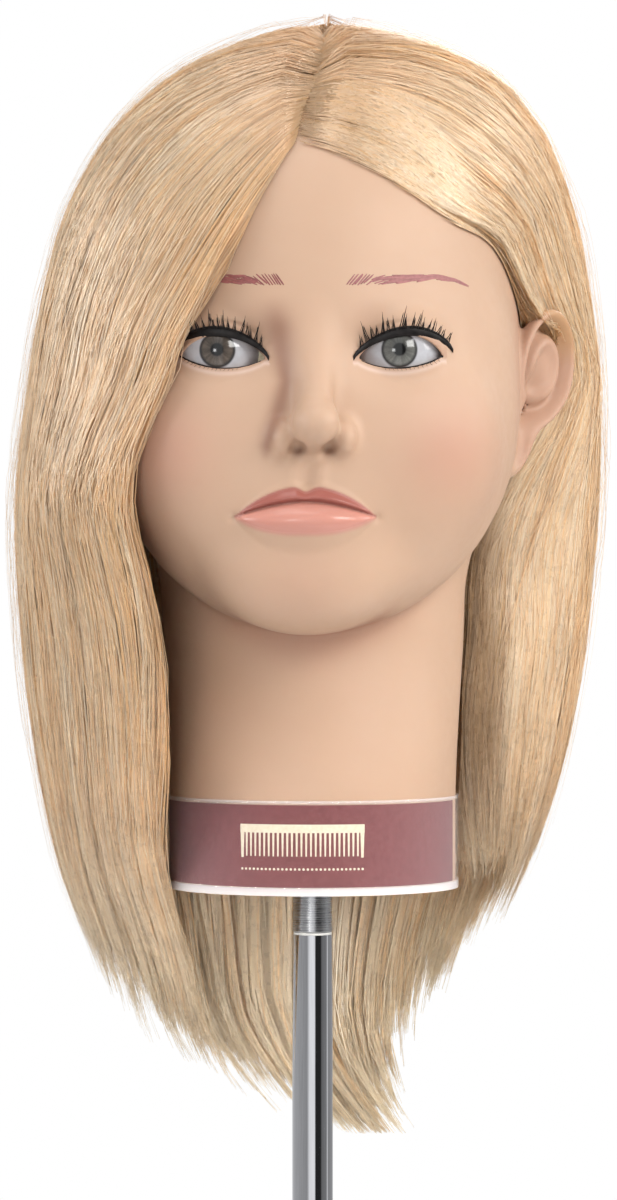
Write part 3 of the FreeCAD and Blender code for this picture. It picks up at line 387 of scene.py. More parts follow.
def lip_edges(x):
    """The mouth line and the lips' upper and lower borders over x, and x as a share of the half width."""
    u = np.clip(np.abs(x) / MOUTH_HALF, 0, 1)
    line = 139.8 - 5.0 * u ** 1.75
    upper = 134.6 + 10.8 * (1 - u ** 2) ** 0.9 - 1.9 * np.exp(-(x / 2.7) ** 2)
    lower = 134.5 - 6.3 * (1 - u ** 2.6) ** 0.9
    return line, upper, lower, u


def lip_relief(x, z):
    """How far the lips stand out of the face."""
    line, upper, lower, u = lip_edges(x)
    room = np.sqrt(1 - u ** 2)
    t_up = (z - line) / np.maximum(upper - line, 0.8)
    t_low = (line - z) / np.maximum(line - lower, 0.8)
    roll_up = smoothstep(-0.02, 0.35, t_up) * (1 - 0.80 * smoothstep(0.2, 1.0, t_up))
    roll_up = roll_up * (1 - smoothstep(0.95, 1.6, t_up))
    roll_low = (1 - (1 - np.clip(t_low / 0.6, 0, 1)) ** 2) * (1 - 0.5 * smoothstep(0.6, 1.1, t_low))
    roll_low = roll_low * (1 - smoothstep(0.9, 1.6, t_low))
    relief = np.where(z > line, 2.5 * roll_up, 4.6 * roll_low) * room * (np.abs(x) < MOUTH_HALF)
    corner = np.exp(-((np.abs(x) - MOUTH_HALF) / 2.2) ** 2) * np.exp(-((z - 134.6) / 1.8) ** 2)
    groove = np.exp(-((z - line) / 0.75) ** 2) * (np.abs(x) < MOUTH_HALF + 1)
    return relief - 0.45 * groove * (0.4 + 0.6 * room) - 0.8 * corner


def ear_field(p):
    """An ear in its own axes: a runs back and outwards, b runs up, and n points forwards and outwards."""
    ca, sa = math.cos(EAR_FLARE), math.sin(EAR_FLARE)
    dy, b = p[1] - EAR_ROOT[1], p[2] - EAR_ROOT[2]
    dx = p[0] - EAR_ROOT[0] + 0.22 * np.clip(-b, 0, 32) - 0.06 * np.clip(b, 0, 30)
    a = dx * sa + dy * ca - 0.10 * b
    n = dx * ca - dy * sa
    round_top = np.sqrt(((a - 11.5) / 16.5) ** 2 + ((b - 10.0) / 22.5) ** 2)
    round_low = np.sqrt(((a - 4.5) / 7.8) ** 2 + ((b + 16.5) / 14.0) ** 2)
    edge = blend((round_top - 1) * 16.5, (round_low - 1) * 7.8, 7.0)
    rim = -edge
    cup = 3.4 * np.exp(-((rim - 1.2) / 2.3) ** 2)
    trough = -2.2 * np.exp(-((rim - 5.6) / 1.9) ** 2) * smoothstep(-14, -4, b)
    fold = 1.9 * np.exp(-((rim - 9.0) / 2.2) ** 2) * smoothstep(-16, -6, b)
    bowl_reach = ((a - 7.0) / 7.0) ** 2 + ((b + 1.5) / 9.5) ** 2
    bowl = -5.5 * np.exp(-bowl_reach ** 1.4)
    flap = 2.6 * np.exp(-(((a - 0.5) / 2.6) ** 2 + ((b + 1.0) / 4.0) ** 2))
    lobe = 0.9 * np.exp(-(((a - 5) / 5.0) ** 2 + ((b + 20) / 6.0) ** 2))
    level = cup + trough + fold + bowl + flap + lobe
    sheet_top = n - level - 1.6
    sheet_back = -(n - 0.45 * level + 2.4)
    body = -blend(-sheet_top, -sheet_back, 1.2)
    return -blend(-body, -edge, 1.8)


def neck_field(x, y, z):
    """The neck, upright at its foot and set back under the jaw."""
    wide = 52.8 + 3.6 * smoothstep(28, 112, z)
    deep = 52.8 - 3.0 * smoothstep(34, 92, z)
    back = 7.0 * smoothstep(34, 92, z)
    neck = (np.sqrt((x / wide) ** 2 + ((y - back) / deep) ** 2) - 1) * 52.8
    return np.maximum(neck, z - 170)


def head_field(x, y, z):
    """Negative inside the head. Left and right are alike but for the midline's lean."""
    p = (np.abs(x), y, z)
    face_x = x - middle(z) * smoothstep(-40, -70, y)
    face_x = face_x - 0.13 * np.clip(-80 - y, 0, 30) * smoothstep(150, 158, z) * (1 - smoothstep(180, 205, z))
    side = np.abs(face_x)
    f = (side, y, z)
    head = blend(egg(p, SCALP_CENTRE, SCALP_RADII), egg(p, (0, -25, 165), (73.5, 65, 67)), 22)
    # lower face, chin, cheek and mouth: centre, radii and softness of the seam
    for centre, radii, reach in (((0, -42, 152), (64, 48, 57.5), 9), ((0, -65, 117), (31, 25, 22.5), 12),
                                 ((37, -60, 160), (27, 21.5, 28), 16), ((0, -66, 139), (27, 24, 20), 12)):
        head = blend(head, egg(f, centre, radii), reach)
    head = blend(head, neck_field(x, y, z), 4 + 16 * smoothstep(-30, 20, y))
    # eye sockets and lids
    head = carve(head, egg(f, (30.5, -101.5, 194.5), (19.5, 20.5, 12.5)), 11)
    lids = np.sqrt((side - EYE[0]) ** 2 + (y - EYE[1]) ** 2 + (z - EYE[2]) ** 2) - LID_RADIUS
    head = blend(head, lids, 3.6)
    # nose
    head = blend(head, rod(f, (0, -79, 205), (0, -99.5, 168), 5.2, 6.0), 7)
    head = blend(head, egg(f, (0, -99.8, 166.6), (7.6, 9.2, 7.2)), 5)
    head = blend(head, egg(f, (11.1, -90.0, 162.0), (4.6, 8.4, 7.0)), 3.8)
    head = blend(head, rod(f, (0, -100.5, 163.0), (0, -89, 158.6), 3.2, 3.8), 3)
    head = carve(head, egg(f, (5.4, -97.0, 158.2), (2.8, 5.8, 2.4)), 1.2)
    # the groove under the nose, then the lips, then the fold over the chin
    front = smoothstep(-58, -72, y)
    groove = np.exp(-(side / 2.6) ** 2) - 0.55 * np.exp(-((side - 5.2) / 2.2) ** 2)
    groove = groove * smoothstep(143, 147, z) * (1 - smoothstep(152, 156, z))
    head = head + 1.1 * groove * front
    head = head - lip_relief(side, z) * front
    # crease of the upper lid
    upper, lower, along = lid_edges(side)
    crease = np.exp(-((z - upper - 4.6) / 0.9) ** 2)
    crease = crease * smoothstep(0.0, 0.25, along) * (1 - smoothstep(0.85, 1.1, along))
    head = head + 0.55 * crease * front
    # opening of the eye
    hole = np.minimum(np.minimum(upper - z, z - lower), np.minimum(side - EYE_INNER, EYE_OUTER - side))
    hole = -np.minimum(hole, -(y + 62))
    head = carve(head, hole, 0.7)
    near_ear = (p[0] > 60) & (z > 140) & (z < 225) & (y > -30) & (y < 45)
    if np.any(near_ear):
        part = tuple(c[near_ear] for c in p)
        head[near_ear] = blend(head[near_ear], ear_field(part), 2.4)
    head = np.maximum(head, -(plain_head(x, y, z) + skin_thickness(z)))
    return np.maximum(head, -z)


def skin_thickness(z):
    """Thinner at the neck's foot, where the label is, than above it."""
    return SKIN_THICKNESS + NECK_EXTRA * smoothstep(8, 30, z)


def head_lines():
    """Grid lines along X, Y and Z, close together where the features are."""
    def run(*pieces):
        lines = [np.arange(a, b, step) for a, b, step in pieces]
        return np.concatenate(lines).astype(np.float32)
    x = run((-103, -70, 1.1), (-70, -50, 1.4), (-50, 50, 0.62), (50, 70, 1.4), (70, 103, 1.1))
    y = run((-116, -74, 0.75), (-74, -46, 1.3), (-46, -12, 3.0), (-12, 34, 1.2), (34, 47, 3.0), (47, 56, 1.4),
            (56, 106, 3.5))
    z = run((-3, 3, 1.5), (3, 88, 3.0), (88, 124, 1.2), (124, 150, 0.6), (150, 182, 0.85), (182, 204, 0.6),
            (204, 225, 1.2), (225, 316, 3.0))
    return x, y, z


def sign_changes(inside, axis):
    """The grid points whose next neighbour along an axis is on the surface's other side."""
    low, high = [slice(None)] * 3, [slice(None)] * 3
    low[axis], high[axis] = slice(0, -1), slice(1, None)
    low, high = tuple(low), tuple(high)
    return low, high, list(np.nonzero(inside[low] != inside[high]))


def surface_net(x, y, z, field):
    """A closed quad mesh where the field changes sign: one point in each cell that the surface passes."""
    inside = field < 0
    size = np.array(field.shape) - 1
    total = np.zeros((*size, 3), np.float32)
    count = np.zeros(size, np.float32)
    lines = (x, y, z)
    for axis in range(3):
        low, high, index = sign_changes(inside, axis)
        a, b = field[low][tuple(index)], field[high][tuple(index)]
        point = np.stack([lines[m][index[m]] for m in range(3)], 1)
        step = lines[axis][index[axis] + 1] - lines[axis][index[axis]]
        point[:, axis] += a / (a - b) * step
        u, v = [m for m in range(3) if m != axis]
        for du, dv in ((0, 0), (0, -1), (-1, 0), (-1, -1)):
            cell = list(index)
            cell[u] = cell[u] + du
            cell[v] = cell[v] + dv
            ok = np.all([(cell[m] >= 0) & (cell[m] < size[m]) for m in range(3)], axis=0)
            key = tuple(c[ok] for c in cell)
            np.add.at(total, key, point[ok])
            np.add.at(count, key, 1)
    used = count > 0
    number = np.full(count.shape, -1, np.int64)
    number[used] = np.arange(used.sum())
    verts = total[used] / count[used][:, None]
    quads = []
    for axis in range(3):
        low, _, index = sign_changes(inside, axis)
        u, v = (axis + 1) % 3, (axis + 2) % 3
        corner = []
        for du, dv in ((-1, -1), (0, -1), (0, 0), (-1, 0)):
            cell = list(index)
            cell[u] = cell[u] + du
            cell[v] = cell[v] + dv
            corner.append(number[tuple(np.clip(cell[m], 0, size[m] - 1) for m in range(3))])
        quad = np.stack(corner, 1)
        outward = inside[low][tuple(index)]
        quad[~outward] = quad[~outward][:, ::-1]
        quads.append(quad)
    return verts, np.concatenate(quads)


def field_slope(field, p, h):
    """The direction in which a distance field grows at points, by differences of h each way."""
    x, y, z = p.T
    return np.stack([field(x + h, y, z) - field(x - h, y, z), field(x, y + h, z) - field(x, y - h, z),
                     field(x, y, z + h) - field(x, y, z - h)], 1) / (2 * h)


def settle(verts, steps=4):
    """Moves points on to the surface along the field's slope."""
    p = verts.astype(np.float64)
    for _ in range(steps):
        value = head_field(*p.T)
        slope = field_slope(head_field, p, 0.12)
        move = -(value / np.maximum((slope ** 2).sum(1), 0.2))[:, None] * slope
        length = np.linalg.norm(move, axis=1)
        move *= np.minimum(1, 0.5 / np.maximum(length, 1e-9))[:, None]
        move[p[:, 2] < FOOT_EDGE, 2] = 0
        p += move
    return p


def relax(verts, faces, rounds=2, amount=0.4):
    """Evens out the mesh's points without changing its form, before they settle on the surface."""
    total = len(verts)
    a = faces.ravel()
    b = np.roll(faces, -1, axis=1).ravel()
    for _ in range(rounds):
        mean = np.zeros_like(verts)
        count = np.zeros(total)
        for i, j in ((a, b), (b, a)):
            for axis in range(3):
                mean[:, axis] += np.bincount(i, weights=verts[j, axis], minlength=total)
            count += np.bincount(i, minlength=total)
        step = (mean / np.maximum(count, 1)[:, None] - verts) * amount
        step[verts[:, 2] < FOOT_EDGE] = 0
        verts = verts + step
    return verts


SKIN = np.array((0.490, 0.322, 0.222))
ROSE = np.array((0.46, 0.205, 0.150))
SHADE = np.array((0.30, 0.14, 0.09))
LIP_UP = np.array((0.32, 0.095, 0.078))
LIP_LOW = np.array((0.53, 0.235, 0.185))
ROOTS = np.array((0.42, 0.24, 0.115))
LID_HIGHLIGHT = np.array((0.66, 0.50, 0.42))


def skin_colours(p):
    """Paint on the skin: flushed cheeks, lips, the darker scalp under the hair, and painted shade, highlights
    and warm light from the hair.
    """
    x, y, z = p.T
    face_x = x - middle(z)
    side = np.abs(face_x)
    colour = np.tile(SKIN, (len(p), 1))

    def paint(tone, share):
        share = np.clip(share, 0, 1)[:, None]
        colour[:] = colour * (1 - share) + tone * share

    front = smoothstep(-30, -55, y)
    cheek = np.exp(-(((side - 50) / 17) ** 2 + ((z - 158) / 17) ** 2))
    paint(ROSE, 0.42 * cheek * front)
    paint(ROSE, 0.16 * np.exp(-((side / 16) ** 2 + ((z - 112) / 12) ** 2)) * front)
    # warm light bounced from the hair, painted on the head's sides by the ears
    paint(ROSE, 0.20 * smoothstep(70, 78, np.abs(x)) * smoothstep(145, 160, z) * (z < 216))
    # painted shade in the hollow between the inner corner of the eye and the brow
    paint(SHADE, 0.14 * np.exp(-(((side - 20) / 7) ** 2 + ((z - 203) / 9) ** 2)) * front)
    upper, lower, along = lid_edges(side)
    in_eye = (along > -0.06) & (along < 1.06)
    # painted shade in bands along the upper lid's edge and under the lower lid
    paint(SHADE, 0.35 * np.exp(-((z - upper - 1.2) / 2.2) ** 2) * in_eye * (z > upper - 2) * front)
    paint(SHADE, 0.22 * np.exp(-((z - lower + 1.0) / 1.6) ** 2) * in_eye * (z < lower + 2) * front)
    line, top, bottom, u = lip_edges(side)
    on_lips = (side < MOUTH_HALF) & (y < -60)
    soft = 0.5
    red_up = smoothstep(-soft, soft, top - z) * smoothstep(-soft, soft, z - line)
    red_low = smoothstep(-2.2 * soft, 2.2 * soft, z - bottom) * smoothstep(-soft, soft, line - z)
    paint(LIP_UP, 0.92 * red_up * on_lips)
    paint(LIP_LOW, 0.92 * red_low * on_lips)
    # painted shade in the crease along the mouth line
    paint(LIP_UP * 0.75, 0.6 * np.exp(-((z - line - 0.2) / 0.5) ** 2) * on_lips)
    # a painted highlight along the top of the lower lip, just under the mouth line
    paint(LIP_LOW * 1.25, 0.5 * np.exp(-((z - line + 0.9) / 0.4) ** 2) * on_lips * (u < 0.9))
    # painted shade down one side of the nose, left in shadow by the light from the other side, and painted
    # shadow under the jaw
    ridge = np.interp(z, (156, 160, 170, 182, 200, 206), (-14.5, -14.2, -10.8, -7.6, -10.2, -11.0))
    width = np.interp(z, (156, 165, 182, 200), (1.6, 3.2, 3.2, 5.2))
    nose_shade = np.exp(-((x - ridge) / width) ** 2) * smoothstep(153, 160, z) * (1 - smoothstep(200, 214, z))
    # the nose's painted shade
    paint(SHADE * 0.75, 0.72 * nose_shade * front)
    # warm light bounced from the curtain of hair, painted on the face's -X side
    paint(ROSE * 0.8, 0.55 * smoothstep(-54, -72, x) * (z < 225) * (z > 100))
    fold = z - 92 - 0.013 * x ** 2
    under = np.maximum(1 - smoothstep(1, 5, neck_field(x, y, z)), 1 - smoothstep(22, 34, np.abs(x)))
    under = under * (1 - smoothstep(-30, 10, y))
    # painted shadow on the neck under the chin and jaw
    paint(SHADE, 0.38 * np.exp(-(fold / 10) ** 2) * smoothstep(-62, -50, y) * under)
    # a painted highlight along the lower lid, below its lash line
    rim = np.exp(-((z - lower + 1.9) / 0.8) ** 2) * in_eye
    paint(LID_HIGHLIGHT, 0.6 * rim * front)
    # painted shade in the nostrils
    nostril_shade = np.exp(-((np.abs(x - 2.2 - middle(z)) - 5.4) / 2.4) ** 2 - ((z - 157.6) / 1.6) ** 2) * (y < -88)
    paint(SHADE * 0.5, 0.8 * nostril_shade)
    # painted shade on the ears and the head's sides beside them
    paint(SHADE, 0.16 * smoothstep(73, 78, np.abs(x)) * (z < 216))
    # more painted shadow just under the jaw's fold
    paint(SHADE, 0.46 * np.exp(-((fold - 1) / 7) ** 2) * smoothstep(-66, -56, y) * under)
    # painted shade over the face's -X side, under the hanging hair
    paint(SHADE, 0.20 * smoothstep(34, 62, -x) * (z < 200) * (z > 85))
    # the scalp under the hair
    scalp = 0.8 * (z - 214) + 0.75 * (y + 45)
    paint(ROOTS, 0.85 * smoothstep(24, 34, scalp))
    return colour


def lip_gloss(p):
    """How glossy the paint is: the lips shine and the skin doesn't."""
    x, y, z = p.T
    line, top, bottom, u = lip_edges(x - middle(z))
    return smoothstep(bottom, bottom + 1.5, z) * (1 - smoothstep(top - 1.5, top, z)) * (u < 0.97) * (y < -60)


def make_head():
    x, y, z = head_lines()
    field = np.empty((len(x), len(y), len(z)), np.float32)
    slab = 16
    for i in range(0, len(x), slab):
        field[i:i + slab] = head_field(*np.meshgrid(x[i:i + slab], y, z, indexing="ij"))
    verts, quads = surface_net(x, y, z, field)
    verts = settle(relax(verts.astype(np.float64), quads))
    head = mesh_object("head_vinyl", verts, [quads], colours=skin_colours(verts), gloss=lip_gloss(verts))
    on_head(head, "skin", skin_material(), "head_skin")


def skin_material():
    material, shader = new_material("skin_vinyl")
    painted(material, shader, 28, 4, (0.95, 0.94, 0.93))
    rough = ramp(material, noise(material, 260, 3), (0.3, (0.46,) * 3), (0.7, (0.56,) * 3))
    gloss = add(material, "Attribute", {"attribute_name": "gloss"}).outputs["Fac"]
    shine = add(material, "Mix", {"data_type": "FLOAT"}, Factor=gloss, i2=rough)
    shine.inputs[3].default_value = 0.20
    join(material, shine.outputs[0], shader.inputs["Roughness"])
    bump(material, shader, noise(material, 1900, 2), 0.10, 0.0001)
    shader.inputs["Subsurface Weight"].default_value = 0.12
    shader.inputs["Subsurface Radius"].default_value = (1.0, 0.45, 0.25)
    shader.inputs["Subsurface Scale"].default_value = 0.003
    shader.inputs["Specular IOR Level"].default_value = 0.35
    return material


# ---------------------------------------------------------------------------------------------------------
# Hair: strands laid along flow lines that leave the parting and then hang
# ---------------------------------------------------------------------------------------------------------
# The hair's outer surface in level rings: height, left, right, front, back
OUTER = np.array([
    (-106, -18, 80, 38, 62), (-84, -48, 66, 20, 74), (-57, -74, 66, 2, 82), (-27, -84, 74, -16, 88),
    (2, -94, 87, -38, 94), (32, -100, 98, -62, 98), (69, -105, 107, -80, 102), (106, -108, 112, -90, 105),
    (143, -109, 115, -95, 107), (180, -105, 115, -98, 110), (217, -99, 111, -98, 110),
    (257, -87, 100, -88, 104), (287, -67, 82, -66, 88), (304, -46, 62, -38, 66), (314, -24, 38, -10, 44),
    (317.5, -13, 23, 0, 36), (319.5, 4, 6, 17, 19)], float)
EQUATOR = 190.0
CROWN_RISE = 130.5
PART_FRONT = np.array((-4.5, -69, 268.0))
PART_BACK = np.array((9, 14, 309.0))
PART_ARCH = np.array((0, -7, 12.0))
# The curtain's edge across the forehead, and the strands that frame the other temple and pass behind the ear
CURTAIN_EDGE = np.array([PART_FRONT, (-18.5, -79, 247), (-31.5, -85, 225), (-43.5, -86, 204), (-50, -84, 190)])
TEMPLE_EDGE = np.array([PART_FRONT, (31, -66.5, 253), (50, -58, 243.5), (68, -38, 236), (76, -22, 222),
                        (83, -6, 210), (90, 11, 203), (94, 25, 190)])


def smooth_table(x, knots, values):
    """A smooth curve through a table, with slopes taken from its neighbours."""
    slopes = np.gradient(values, knots, axis=0)
    i = np.clip(np.searchsorted(knots, x) - 1, 0, len(knots) - 2)
    gap = knots[i + 1] - knots[i]
    t = np.clip((x - knots[i]) / gap, 0, 1)[..., None]
    gap = gap[..., None]
    a, b, sa, sb = values[i], values[i + 1], slopes[i] * gap, slopes[i + 1] * gap
    return ((2 * t ** 3 - 3 * t ** 2 + 1) * a + (t ** 3 - 2 * t ** 2 + t) * sa
            + (-2 * t ** 3 + 3 * t ** 2) * b + (t ** 3 - t ** 2) * sb)


def ring_point(phi, z):
    """The point of the outer surface at an angle round it and a height."""
    left, right, front, back = np.moveaxis(smooth_table(z, OUTER[:, 0], OUTER[:, 1:]), -1, 0)
    x = (left + right) / 2 + (right - left) / 2 * np.cos(phi)
    y = (front + back) / 2 + (back - front) / 2 * np.sin(phi)
    return np.stack([x, y, np.broadcast_to(z, x.shape)], -1)


CENTRE = ring_point(np.array([0.0, math.pi]), np.array([EQUATOR] * 2)).mean(axis=0)


def dome_point(way):
    """The point of the outer surface over the equator in a direction."""
    way = unit(way)
    return ring_point(np.arctan2(way[..., 1], way[..., 0]), EQUATOR + CROWN_RISE * np.clip(way[..., 2], 0, 1))


def scalp_share(point):
    """How far out along the line from the centre to a point the scalp lies, as a share of that line."""
    start = (CENTRE - SCALP_CENTRE) / SCALP_RADII
    step = (point - CENTRE) / SCALP_RADII
    a, b, c = (step ** 2).sum(-1), (start * step).sum(-1), (start ** 2).sum() - 1
    return (-b + np.sqrt(np.maximum(b * b - a * c, 0))) / a


def along_line(points, s):
    """A smooth place along a line of points, with s from 0 to 1."""
    length = np.concatenate([[0], np.cumsum(np.linalg.norm(np.diff(points, axis=0), axis=1))])
    return smooth_table(s, length / length[-1], points)


def part_direction(t):
    """The direction of the parting's point, from the front at 0 to the crown at 1."""
    t = np.asarray(t, float)[..., None]
    point = PART_FRONT * (1 - t) + PART_BACK * t + PART_ARCH * 4 * t * (1 - t)
    return unit((point - CENTRE) / (108, 104, CROWN_RISE))


def fall_angle(u, side):
    """The angle round the head at which a strand hangs; u runs from the side's front to its back."""
    return side["fall"][0] + (side["fall"][1] - side["fall"][0]) * u


def dome_path(u, s, side):
    """The outer surface's flow line from the parting to the equator; u runs from the front to the back."""
    fall = fall_angle(u, side)
    along = np.clip(u / side["crown"], 0, 1) ** side["spread"]
    start = part_direction(along)
    start[..., 0] += side["over"] * (0.010 + 0.034 * smoothstep(0.25, 0.8, along))
    start = unit(start)
    end = np.stack([np.cos(fall), np.sin(fall), np.zeros_like(fall)], -1)
    lift = side["lift"][0] + (side["lift"][1] - side["lift"][0]) * smoothstep(0.0, 0.45, u)
    middle_way = end + np.stack([0 * lift, 0 * lift, lift], -1)
    s = s[..., None]
    return dome_point((1 - s) ** 2 * start + 2 * s * (1 - s) * middle_way + s ** 2 * end)


def flow(u, s, layer, side):
    """A place on a flow line over the dome, drawn in towards the scalp by its layer."""
    shift = along_line(side["edge"], s) - dome_path(np.zeros_like(u), s, side)
    weight = (1 - smoothstep(0.0, side["reach"], u))[..., None]
    return CENTRE + (dome_path(u, s, side) - CENTRE) * layer[..., None] + shift * weight


# How far the foremost hanging strands lie from the outer surface: height, along X and along Y
CURTAIN_HANG = np.array([(-106, 0, 0), (-40, 3, 0), (17, 1, -3), (56, 3.5, -3), (88, 3.5, -4), (113, 0, -5),
                         (134, -5, -5), (148, -5.5, -5), (165, -0.5, -5.5), (190, 9.0, -6)], float)
TEMPLE_HANG = np.array([(-106, 0, 0), (-40, -12, 0), (2, -26, 0), (35, -42, 0), (68, -51, 2), (98, -52, 5),
                        (121, -54, 9), (151, -43, 15), (170, -31, 19), (190, -20, 21)], float)
SIDE_L = {"fall": (math.radians(235), math.radians(88)), "crown": 0.72, "spread": 0.9, "lift": (0.25, 0.85),
          "edge": CURTAIN_EDGE, "hang": CURTAIN_HANG, "reach": 0.30, "short": 80, "over": 1}
SIDE_R = {"fall": (math.radians(-2), math.radians(92)), "crown": 0.80, "spread": 0.75, "lift": (0.45, 0.9),
          "edge": TEMPLE_EDGE, "hang": TEMPLE_HANG, "reach": 0.26, "short": 116, "over": -1}
TIP = -104.0
DOME_LENGTH = 150.0
LOCKS_PER_CLUMP = 9
LOWEST = -100.0
OCTAVES = 3


def wave(count, points, scale):
    """A smooth random line per strand, nought at the root and growing along it."""
    t = np.linspace(0, 1, points)[None, :]
    total = np.zeros((count, points))
    for k in range(1, OCTAVES + 1):
        phase = rng.uniform(0, 2 * math.pi, (count, 1))
        pace = rng.uniform(0.6, 1.4, (count, 1)) * k
        total += np.sin(2 * math.pi * pace * t + phase) / k * rng.normal(0, 1, (count, 1))
    return total * scale * smoothstep(0.02, 0.5, t)


def strands(count, side, clumps, u_range=(0.0, 1.0), start_range=(0.0, 0.55), points=20, layer_top=1.0,
            layer_drop=0.08, stagger=20, pull=0.5, loose=1.0, rise=15.0):
    """Strand centre lines. start is how far down its flow line a strand is rooted; later ones lie deeper."""
    # strands gather into locks, and locks into clumps
    locks = clumps * LOCKS_PER_CLUMP
    lock = rng.integers(0, locks, count)
    clump = lock // LOCKS_PER_CLUMP
    lock_u = np.sort(rng.uniform(*u_range, locks))
    clump_u = lock_u.reshape(clumps, LOCKS_PER_CLUMP).mean(axis=1)
    span = (u_range[1] - u_range[0]) / locks
    u = np.clip(lock_u[lock] + rng.normal(0, 1.2 * span, count), u_range[0], u_range[1])
    start = rng.uniform(0, 1, count) ** 1.2 * (start_range[1] - start_range[0]) + start_range[0]
    depth = layer_top - layer_drop * start - 0.016 * smoothstep(0.03, 0.14, start)
    depth = depth + rng.normal(0, 0.0030, count) + rng.normal(0, 0.002, locks)[lock]
    # where each strand ends: longest at the back, with uneven tips folded back above the lowest point
    lowest = TIP + side["short"] * np.abs(np.cos(fall_angle(u, side))) ** 1.5
    lowest = lowest + rng.normal(0, 7, clumps)[clump] + rng.normal(0, 4, locks)[lock]
    end = np.minimum(lowest + stagger * rng.exponential(1, count), 120)
    end = LOWEST + np.abs(end - LOWEST)
    first = start * DOME_LENGTH
    last = DOME_LENGTH + EQUATOR - end
    t = np.linspace(0, 1, points)[None, :] ** 1.2
    run = first[:, None] + (last - first)[:, None] * t
    s = np.clip(run / DOME_LENGTH, 0, 1)
    z = EQUATOR - np.maximum(run - DOME_LENGTH, 0)
    grip = pull * smoothstep(0.05, 1.0, t)
    at = u[:, None] + (lock_u[lock] - u)[:, None] * np.minimum(1.3 * grip, 0.9)
    at = at + (clump_u[clump] - lock_u[lock])[:, None] * grip
    at = at + (wave(clumps, points, 0.009)[clump] + wave(locks, points, 0.005)[lock]) * loose
    at = at + wave(count, points, 0.0028) * loose
    at = np.clip(at, u_range[0] - 0.01, 1.02)
    layer = depth[:, None] + wave(clumps, points, 0.006)[clump] * loose
    layer = layer + wave(locks, points, 0.004)[lock] * loose
    layer = np.minimum(layer + wave(count, points, 0.003) * loose, layer_top + 0.012)[..., None]
    hang = side["hang"]

    def trace(at):
        """The strands' places on the hair's surface: over the dome, and hanging from its equator."""
        fall = fall_angle(at, side)
        axis = (ring_point(np.zeros_like(fall), z) + ring_point(np.full_like(fall, math.pi), z)) / 2
        down = axis + (ring_point(fall, z) - axis) * layer
        shift = smooth_table(z, hang[:, 0], hang[:, 1:])
        down[..., :2] += shift * (1 - smoothstep(0.0, side["reach"], at))[..., None]
        return np.where((run < DOME_LENGTH)[..., None], flow(at, s, layer[..., 0], side), down)

    line = trace(at)
    across = trace(at + 0.006) - line
    # from the scalp up to the strand's layer
    share = np.clip(scalp_share(line), 0.3, 1.0)
    climb = 5.5 + (rise - 5.5) * smoothstep(0.02, 0.25, start)[:, None]
    risen = smoothstep(-2.0, climb, run - first[:, None]) ** 0.8
    sunk = CENTRE + (line - CENTRE) * (share - 0.012)[..., None]
    return sunk + (line - sunk) * risen[..., None], across, lock, u, start


def clear_of_head(lines, gap=1.0, rounds=2):
    """Pushes strands out of the head, the neck's sleeve and the pole."""
    p = lines.reshape(-1, 3).copy()
    for _ in range(rounds):
        near = np.nonzero((p[:, 2] > -5) & (p[:, 2] < 318))[0]
        value = bare_head(*p[near].T) - gap
        near, value = near[value < 0], value[value < 0]
        slope = field_slope(bare_head, p[near], 0.6)
        p[near] -= slope / np.maximum(np.linalg.norm(slope, axis=1, keepdims=True), 1e-6) * value[:, None]
    away = np.hypot(p[:, 0], p[:, 1])
    need = 12.0 + 44.0 * smoothstep(-34, -5, p[:, 2])
    short = (p[:, 2] < 60) & (away < need)
    p[short, :2] *= (need[short] / np.maximum(away[short], 1e-3))[:, None]
    return p.reshape(lines.shape)


def bare_head(x, y, z):
    """The head with its ears, and without the face's small features."""
    p = (np.abs(x), y, z)
    jaw = egg(p, (0, -25, 165), (73.5, 65, 71))
    neck = np.maximum((np.sqrt((x / 55.5) ** 2 + (y / 54) ** 2) - 1) * 54, z - 170)
    ear = egg(p, (84, 8, 181), (7.5, 16, 31))
    return np.minimum(np.minimum(egg(p, SCALP_CENTRE, SCALP_RADII), jaw), np.minimum(neck, ear))


def without(vectors, way):
    """What is left of vectors across a direction."""
    return vectors - way * (vectors * way).sum(axis=-1, keepdims=True)


